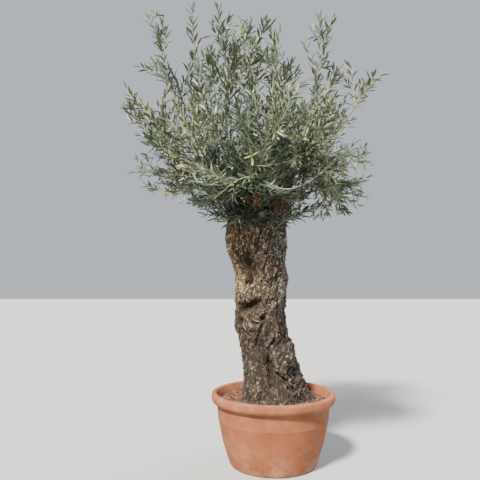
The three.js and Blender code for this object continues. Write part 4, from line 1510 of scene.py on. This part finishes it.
def twig_tree():
    """Skins lines of edges with round twigs, each with the material of its age."""
    kinds = [("Sides", "Int"), ("Thickness", "Float"), *[(skin, "Material") for skin in SKINS]]
    tree, given, result = new_tree("twig_skin", kinds)
    lines = add_node(tree, "GeometryNodeMeshToCurve", {"Mesh": given["Geometry"]}).outputs[0]
    thickness = times(tree, attribute_of(tree, "girth"), given["Thickness"])
    values = {"Resolution": given["Sides"], "Radius": 1.0}
    circle = add_node(tree, "GeometryNodeCurvePrimitiveCircle", values).outputs[0]
    values = {"Curve": lines, "Profile Curve": circle, "Scale": thickness, "Fill Caps": True}
    skin = add_node(tree, "GeometryNodeCurveToMesh", values).outputs[0]
    painted = add_node(tree, "GeometryNodeRealizeInstances", {"Geometry": skin}).outputs[0]
    for number, age in enumerate(SKINS):
        painted = with_material(tree, painted, given[age], where_number(tree, "skin", number))
    tree.links.new(painted, result["Geometry"])
    return tree


def lines_object(name, lines):
    """An object of bare edges along the lines, with each point's girth and skin."""
    points, edges, girths, skins = [], [], [], []
    for line, thick, thin, skin in lines:
        start = len(points)
        points += [tuple(p) for p in line]
        edges += [(start + i, start + i + 1) for i in range(len(line) - 1)]
        girths += list(np.linspace(thick, thin, len(line)))
        skins += [skin] * len(line)
    mesh = bpy.data.meshes.new(name)
    mesh.from_pydata(points, edges, [])
    set_values(mesh, "girth", "FLOAT", girths)
    set_values(mesh, "skin", "INT", skins)
    return linked(name, mesh)


# Leaves

def leaf_template(name, arch, fold, twist):
    """A closed olive leaf of unit length and width: narrow, folded along its rib, and arched."""
    rows = [(0.20, 0.66), (0.52, 1.0), (0.82, 0.62)]
    thickness = 0.010

    def spot(share, side, under=0.0):
        tilt = twist * share
        x, z = side * 0.5, abs(side) * fold - under
        rise = z * math.cos(tilt) + x * 0.2 * math.sin(tilt) - arch * share ** 2
        return (x * math.cos(tilt) - z * math.sin(tilt), share, rise)

    points = [spot(0, 0), spot(1, 0)]
    for share, width in rows:
        points += [spot(share, -width), spot(share, 0), spot(share, width), spot(share, 0, thickness)]
    faces, under = [], []
    for low in (False, True):
        rib = 3 if low else 1
        ring = [[2 + 4 * i, 2 + 4 * i + rib, 2 + 4 * i + 2] for i in range(len(rows))]
        loop = [(0, ring[0][1], ring[0][0]), (0, ring[0][2], ring[0][1])]
        for before, after in zip(ring, ring[1:]):
            for a in (0, 1):
                loop += [(before[a], before[a + 1], after[a + 1]), (before[a], after[a + 1], after[a])]
        loop += [(1, ring[-1][0], ring[-1][1]), (1, ring[-1][1], ring[-1][2])]
        faces += [tuple(reversed(face)) for face in loop] if low else loop
        under += [low] * len(loop)
    mesh = bpy.data.meshes.new(name)
    mesh.from_pydata(points, [], faces)
    layer = mesh.attributes.new("underside", "BOOLEAN", "FACE")
    layer.data.foreach_set("value", under)
    return linked(name, mesh)


def leaf_tree(leaves, tints):
    """Puts a leaf on each point, along its heading and facing its light, tint by tint."""
    tree, given, result = new_tree("leaf_sprays", [("Leaf length", "Float"), ("Leaf width", "Float")])
    size = attribute_of(tree, "size")
    long = times(tree, size, given["Leaf length"])
    wide = times(tree, size, given["Leaf width"])
    scale = add_node(tree, "ShaderNodeCombineXYZ", {"X": wide, "Y": long, "Z": long}).outputs[0]
    axes = {"Primary Axis": attribute_of(tree, "heading", "FLOAT_VECTOR"),
            "Secondary Axis": attribute_of(tree, "facing", "FLOAT_VECTOR")}
    turn = add_node(tree, "FunctionNodeAxesToRotation", axes, primary_axis="Y", secondary_axis="Z").outputs[0]
    dots = add_node(tree, "GeometryNodeMeshToPoints", {"Mesh": given["Geometry"]}).outputs[0]
    sprays = add_node(tree, "GeometryNodeJoinGeometry")
    for number, (leaf, (upper, lower)) in enumerate(zip(leaves, tints)):
        form = add_node(tree, "GeometryNodeObjectInfo", {"Object": leaf}).outputs["Geometry"]
        values = {"Points": dots, "Selection": where_number(tree, "tint", number), "Instance": form,
                  "Rotation": turn, "Scale": scale}
        placed = add_node(tree, "GeometryNodeInstanceOnPoints", values).outputs[0]
        real = add_node(tree, "GeometryNodeRealizeInstances", {"Geometry": placed}).outputs[0]
        green = with_material(tree, real, upper)
        silver = with_material(tree, green, lower, attribute_of(tree, "underside", "BOOLEAN"))
        tree.links.new(silver, sprays.inputs[0])
    tree.links.new(sprays.outputs[0], result["Geometry"])
    return tree


def leaf_pairs(line, spacing, first, drop, random):
    """Leaves in opposite pairs along a twig, each pair square to the last, with a pair at the tip."""
    leaves = []
    length = line_length(line)
    count = max(1, int(length * (1 - first) / spacing))
    turn = 6 * next(random)
    for i in range(count + 1):
        share = min(1.0, between(first, 1.0, (i + 0.3 * next(random)) / count))
        point, heading = along(line, share)
        at_tip = i == count
        for half in (0, 1):
            lost, open_by, size, lean = next(random), next(random), next(random), next(random)
            if lost < drop and not at_tip:
                continue
            side = square(heading, turn + i * math.pi / 2 + half * math.pi + 0.5 * (lean - 0.5))
            angle = between(0.2, 0.45, open_by) if at_tip else between(0.45, 0.95, open_by)
            direction = heading * math.cos(angle) + side * math.sin(angle)
            facing = heading - direction * heading.dot(direction) + UP * 0.55
            size = between(0.78, 1.22, size) * (0.85 if at_tip else 1.0)
            leaves.append((point, direction, facing, size))
    return leaves


def kept_leaves(leaves, looks, rooms, hang=0.0):
    """The leaves whose tips keep off the limbs and stay in the open, or hang a little below it."""
    tips = as_array([point + heading * (looks.leaf_length * size) for point, heading, _, size, _ in leaves])
    kept = clear_of_limbs(tips, rooms) & in_the_open(tips, hang)
    return [leaf for leaf, keep in zip(leaves, kept) if keep]


def sprayed(lines, tints, grade, random):
    """Leaf pairs along lines that each come with their kind and spacing, in one tint for each line."""
    leaves = []
    for line, kind, spacing in lines:
        away = (line[len(line) // 2] - Vector(SHADE["middle"])).length
        in_shade = next(random) > smooth_step(away, SHADE["near"], SHADE["far"])
        limits = np.cumsum(DEEP_TINTS if in_shade else tints)
        tint = int(np.searchsorted(limits, next(random) * limits[-1]))
        for point, heading, facing, size in leaf_pairs(line, spacing, *LEAFING[kind], random):
            leaves.append((point, heading, facing, size * grade, tint))
    return leaves


def mass_leaves(mass, index, grown, looks):
    """All leaves of one mass."""
    spacing = looks.pair_spacing * between(THIN_MASS_SPACING, 1.0, mass["full"])
    lines = [(grown["leader"], "leader", spacing)]
    lines += [(line, "shoot", spacing) for line in grown["shoots"]]
    lines += [(line, "whip", apart * spacing) for line, apart in grown["whips"]]
    lines += [(line, "twig", spacing) for line in grown["twigs"]]
    leaves = sprayed(lines, mass["tints"], mass["leaf"], seeded("leaves", index))
    return kept_leaves(leaves, looks, MASS_ROOM)


def leaf_points(name, leaves):
    """An object of bare points that hold how each leaf is placed."""
    mesh = bpy.data.meshes.new(name)
    mesh.from_pydata([tuple(leaf[0]) for leaf in leaves], [], [])
    set_values(mesh, "heading", "FLOAT_VECTOR", [tuple(leaf[1]) for leaf in leaves])
    set_values(mesh, "facing", "FLOAT_VECTOR", [tuple(leaf[2]) for leaf in leaves])
    set_values(mesh, "size", "FLOAT", [leaf[3] for leaf in leaves])
    set_values(mesh, "tint", "INT", [leaf[4] for leaf in leaves])
    return linked(name, mesh)


def leaf_tints(looks):
    """The upper and the lower skin of the leaves in each tint."""
    silver = leaf_material("leaf_silver", looks.silver, 0.6, 0.3)
    sage = leaf_material("leaf_sage", looks.sage, 0.6, 0.3)
    slate = leaf_material("leaf_slate", looks.slate, 0.6, 0.3)
    return [
        (leaf_material("leaf_olive", looks.olive, 0.42, 0.5), sage),
        (leaf_material("leaf_grey_green", looks.grey_green, 0.45, 0.5), silver),
        (leaf_material("leaf_blue_green", looks.blue_green, 0.5, 0.32), slate),
        (leaf_material("leaf_yellow_olive", looks.yellow_olive, 0.45, 0.45), sage),
    ]


def arm_growth(number, arm, leaders, looks):
    """The nodes that one arm carries, with the lines of their wood and their leaves."""
    nodes, lines, leaves = [], [], []
    for i, mass in enumerate(MASSES):
        if mass["arm"] == arm:
            grown = grow_mass(mass, i, leaders, looks)
            nodes.append("foliage_" + mass["name"])
            lines += wood_lines(grown)
            leaves += mass_leaves(mass, i, grown, looks)
    random = seeded("sprigs", number)
    sprigs = tuft(ARMS[arm], looks, random) + arm_sprigs(ARMS[arm], random)
    sprigs = [shortened(points) for points in sprigs]
    sprigs += trunk_sprigs(random) if arm == TRUNK_SPRIGS_WITH else []
    sprigs = [smooth_line(points, 2) for points in sprigs if len(points) > 2]
    lines += [(points, *SPRIG_WOOD) for points in sprigs]
    tufted = sprayed([(line, "sprig", looks.pair_spacing) for line in sprigs], BODY_TINTS, 1.0, random)
    leaves += kept_leaves(tufted, looks, SPRIG_ROOM, SKIRT["hang"])
    return nodes, lines, leaves


def make_foliage(looks):
    """Grows every mass, and makes the twigs and the leaves that each arm carries."""
    templates = [
        leaf_template("leaf_straight", 0.04, 0.055, 0.0),
        leaf_template("leaf_arched", 0.14, 0.075, 0.3),
        leaf_template("leaf_bent", 0.10, 0.035, -0.5),
        leaf_template("leaf_flat", 0.07, 0.020, 0.2),
    ]
    skins = {
        SKINS[OLD]: shoot_material("leader_skin", looks.leader, looks.leader_pale, 0.8),
        SKINS[YOUNG]: shoot_material("twig_skin", looks.twig, looks.twig_pale, 0.6),
        SKINS[PALE]: shoot_material("whip_skin", looks.twig, looks.whip_pale, 0.6),
    }
    leaf_nodes, twig_nodes = leaf_tree(templates, leaf_tints(looks)), twig_tree()
    leaders = all_leaders()
    for number, arm in enumerate(ARMS):
        nodes, lines, leaves = arm_growth(number, arm, leaders, looks)
        values = {"Sides": TWIG_SIDES, "Thickness": 1.0, **skins}
        twigs = run_nodes(lines_object("twig_lines", lines), twig_nodes, "twigs_" + arm, values)
        dress(twigs, "bark", *nodes)
        values = {"Leaf length": looks.leaf_length, "Leaf width": looks.leaf_width}
        sprays = run_nodes(leaf_points("leaf_spots", leaves), leaf_nodes, "leaves_" + arm, values)
        dress(sprays, "foliage", *nodes)
    for template in templates:
        bpy.data.objects.remove(template)


# Stage

def make_stage(looks):
    """A plain pale floor, soft light, and the camera where the photograph was taken."""
    far = FLOOR_REACH
    corners = [(-far, -far, 0), (far, -far, 0), (far, far, 0), (-far, far, 0)]
    mesh = bpy.data.meshes.new("floor")
    mesh.from_pydata(corners, [], [(0, 1, 2, 3)])
    add_object("floor", mesh, [floor_material(looks)], smooth=False)

    world = bpy.data.worlds.new("pale_sky")
    world.use_nodes = True
    background = world.node_tree.nodes["Background"]
    background.inputs["Color"].default_value = (*looks.sky, 1)
    background.inputs["Strength"].default_value = looks.sky_strength
    bpy.context.scene.world = world

    lamps = {
        "key": ((-2.0, -3.3, 4.0), looks.key_strength, 9, (1.0, 0.955, 0.88)),
        "fill": ((3.0, 2.2, 2.8), looks.fill_strength, 40, (0.94, 0.97, 1.0)),
    }
    for name, (spot, strength, softness, colour) in lamps.items():
        light = bpy.data.lights.new(name, "SUN")
        light.energy = strength
        light.angle = math.radians(softness)
        light.color = colour
        lamp = linked(name, light)
        lamp.location = spot
        lamp.rotation_euler = Vector(spot).to_track_quat("Z", "Y").to_euler()

    lens = bpy.data.cameras.new("camera")
    lens.sensor_width = SENSOR
    lens.lens = SENSOR * FOCAL_PIXELS / PHOTO_SIZE
    lens.shift_y = (HORIZON_ROW - PHOTO_SIZE / 2) / PHOTO_SIZE
    camera = linked("camera", lens)
    camera.location = CAMERA_PLACE
    camera.rotation_euler = Euler((math.pi / 2, 0, 0))
    bpy.context.scene.camera = camera


# Properties

def colour_setting(name, description, value):
    """A colour property."""
    return FloatVectorProperty(name=name, description=description, subtype="COLOR", size=3, min=0, max=1,
                               default=value)


def length_setting(name, description, value):
    """A length property, in metres."""
    return FloatProperty(name=name, description=description, subtype="DISTANCE", unit="LENGTH", min=0,
                         default=value)


def number_setting(name, description, value, low=0, high=10000):
    """A plain number property."""
    return FloatProperty(name=name, description=description, min=low, max=high, default=value)


class OlivePotLooks(bpy.types.PropertyGroup):
    """Sizes and colours of the pot."""
    pot_sides: IntProperty(name="Sides", description="Faces round the pot", min=24, max=256, default=128)
    clay: colour_setting("Clay", "Fired clay", (0.27, 0.092, 0.038))
    dark_clay: colour_setting("Dark clay", "Damp or darker clay", (0.175, 0.055, 0.024))
    bloom: colour_setting("Bloom", "Pale salts that dry on the clay", (0.37, 0.23, 0.155))


class OliveSoilLooks(bpy.types.PropertyGroup):
    """Sizes and colours of the compost and its mulch."""
    chip_density: number_setting("Chips", "Chips of each kind on a square metre", 3200)
    soil: colour_setting("Soil", "Moist compost", (0.035, 0.020, 0.013))
    crumb: colour_setting("Crumb", "Dry crumbs of compost", (0.10, 0.060, 0.038))
    chip: colour_setting("Chip", "Red-brown bark chip", (0.100, 0.044, 0.025))
    chip_pale: colour_setting("Pale chip", "Worn side of a bark chip", (0.20, 0.105, 0.062))
    splinter: colour_setting("Splinter", "Dry pale splinter", (0.32, 0.21, 0.135))


class OliveBarkLooks(bpy.types.PropertyGroup):
    """Sizes and colours of the bark."""
    voxel: length_setting("Mesh size", "Edge length of the bark's mesh before it is thinned", 0.0034)
    kept_faces: number_setting("Kept faces", "Share of the faces kept", 0.56, 0.05, 1)
    relief: number_setting("Relief", "Depth of the fine relief", 1.0, 0, 3)
    grey: colour_setting("Grey", "Weathered bark", (0.300, 0.280, 0.247))
    grey_dark: colour_setting("Dark grey", "Weathered bark in shade", (0.076, 0.069, 0.058))
    tan: colour_setting("Tan", "Warm bark", (0.43, 0.287, 0.148))
    tan_dark: colour_setting("Dark tan", "Warm bark in shade", (0.12, 0.070, 0.036))
    # Pale and Pale grey colour the worn ridges and the painted highlight on raised bark
    pale: colour_setting("Pale", "Worn warm ridges", (0.85, 0.67, 0.43))
    pale_grey: colour_setting("Pale grey", "Worn grey ridges", (0.79, 0.745, 0.67))
    rust: colour_setting("Rust", "Young red-brown bark of the head and arms", (0.20, 0.09, 0.05))
    # This colour of the cracks also paints the shade in the bark's crevices, hollows and dark places
    crack_and_shade: colour_setting("Crack", "Deep cracks", (0.030, 0.018, 0.012))


class OliveFoliageLooks(bpy.types.PropertyGroup):
    """Sizes and colours of the shoots and leaves."""
    leaf_length: length_setting("Leaf length", "Length of a middling leaf", 0.052)
    leaf_width: length_setting("Leaf width", "Width of a middling leaf", 0.0116)
    pair_spacing: length_setting("Pair spacing", "Distance between leaf pairs", 0.019)
    twig_spacing: length_setting("Twig spacing", "Distance between side twigs", 0.044)
    twig_length: length_setting("Twig length", "Length of the longest side twig", 0.120)
    tip_growth: length_setting("Tip growth", "How far a shoot grows on past the source's", 0.095)
    extra_shoots: IntProperty(name="Further shoots", description="Shoots in a full mass beside the source's",
                              min=0, default=11)
    olive: colour_setting("Olive", "Deep olive leaf", (0.030, 0.043, 0.019))
    grey_green: colour_setting("Grey-green", "Grey-green leaf", (0.155, 0.195, 0.108))
    blue_green: colour_setting("Blue-green", "Blue-green leaf in the shade", (0.017, 0.034, 0.025))
    yellow_olive: colour_setting("Yellow-olive", "Yellowish older leaf", (0.230, 0.228, 0.090))
    silver: colour_setting("Silver", "Silvery underside", (0.240, 0.285, 0.212))
    sage: colour_setting("Sage", "Sage underside", (0.100, 0.124, 0.070))
    slate: colour_setting("Slate", "Underside in the shade", (0.092, 0.124, 0.100))
    leader: colour_setting("Leader", "Skin of a leader", (0.12, 0.10, 0.068))
    leader_pale: colour_setting("Pale leader", "Flecks on a leader", (0.22, 0.195, 0.14))
    twig: colour_setting("Twig", "Young twig", (0.20, 0.21, 0.11))
    twig_pale: colour_setting("Pale twig", "Flecks on a young twig", (0.36, 0.37, 0.22))
    whip_pale: colour_setting("Whip", "Pale skin of a long young whip", (0.38, 0.40, 0.24))


class OliveStageLooks(bpy.types.PropertyGroup):
    """Light and floor."""
    floor: colour_setting("Floor", "Pale floor", (0.40, 0.40, 0.395))
    sky: colour_setting("Sky", "Pale light from all round", (0.86, 0.91, 1.0))
    sky_strength: number_setting("Sky light", "Strength of the light from all round", 0.68)
    key_strength: number_setting("Main light", "Strength of the main light", 13.6)
    fill_strength: number_setting("Second light", "Strength of the soft light", 2.4)


# Operators and panel

class OLIVE_OT_pot(bpy.types.Operator):
    """Make the terracotta pot"""
    bl_idname = "olive.pot"
    bl_label = "Pot"

    def execute(self, context):
        make_pot(context.scene.olive_pot)
        return {"FINISHED"}


class OLIVE_OT_soil(bpy.types.Operator):
    """Make the compost and its mulch of bark chips"""
    bl_idname = "olive.soil"
    bl_label = "Soil and mulch"

    def execute(self, context):
        make_soil(context.scene.olive_soil)
        return {"FINISHED"}


class OLIVE_OT_bark(bpy.types.Operator):
    """Make the bark over the trunk and its arms"""
    bl_idname = "olive.bark"
    bl_label = "Trunk and arms"

    def execute(self, context):
        make_bark(context.scene.olive_bark, all_leaders())
        return {"FINISHED"}


class OLIVE_OT_foliage(bpy.types.Operator):
    """Grow the shoots, twigs and leaves"""
    bl_idname = "olive.foliage"
    bl_label = "Shoots and leaves"

    def execute(self, context):
        make_foliage(context.scene.olive_foliage)
        return {"FINISHED"}


class OLIVE_OT_stage(bpy.types.Operator):
    """Set the floor, the light and the camera"""
    bl_idname = "olive.stage"
    bl_label = "Floor, light and camera"

    def execute(self, context):
        make_stage(context.scene.olive_stage)
        return {"FINISHED"}


STEPS = (OLIVE_OT_pot, OLIVE_OT_soil, OLIVE_OT_bark, OLIVE_OT_foliage, OLIVE_OT_stage)


class OLIVE_PT_panel(bpy.types.Panel):
    """Lists the steps that make the tree"""
    bl_label = "Olive tree"
    bl_idname = "OLIVE_PT_panel"
    bl_space_type = "VIEW_3D"
    bl_region_type = "UI"
    bl_category = "Olive"

    def draw(self, context):
        for step in STEPS:
            self.layout.operator(step.bl_idname)


GROUPS = {
    "olive_pot": OlivePotLooks,
    "olive_soil": OliveSoilLooks,
    "olive_bark": OliveBarkLooks,
    "olive_foliage": OliveFoliageLooks,
    "olive_stage": OliveStageLooks,
}
CLASSES = (*GROUPS.values(), *STEPS, OLIVE_PT_panel)


def register():
    """Registers the classes and hangs the settings on the scene."""
    for item in CLASSES:
        bpy.utils.register_class(item)
    for name, group in GROUPS.items():
        setattr(bpy.types.Scene, name, PointerProperty(type=group))


def unregister():
    """Takes the settings and the classes away again."""
    for name in GROUPS:
        delattr(bpy.types.Scene, name)
    for item in reversed(CLASSES):
        bpy.utils.unregister_class(item)


def main():
    """Makes the whole tree."""
    register()
    bpy.ops.olive.stage()
    bpy.ops.olive.pot()
    bpy.ops.olive.soil()
    bpy.ops.olive.bark()
    bpy.ops.olive.foliage()


if __name__ == "__main__":
    main()
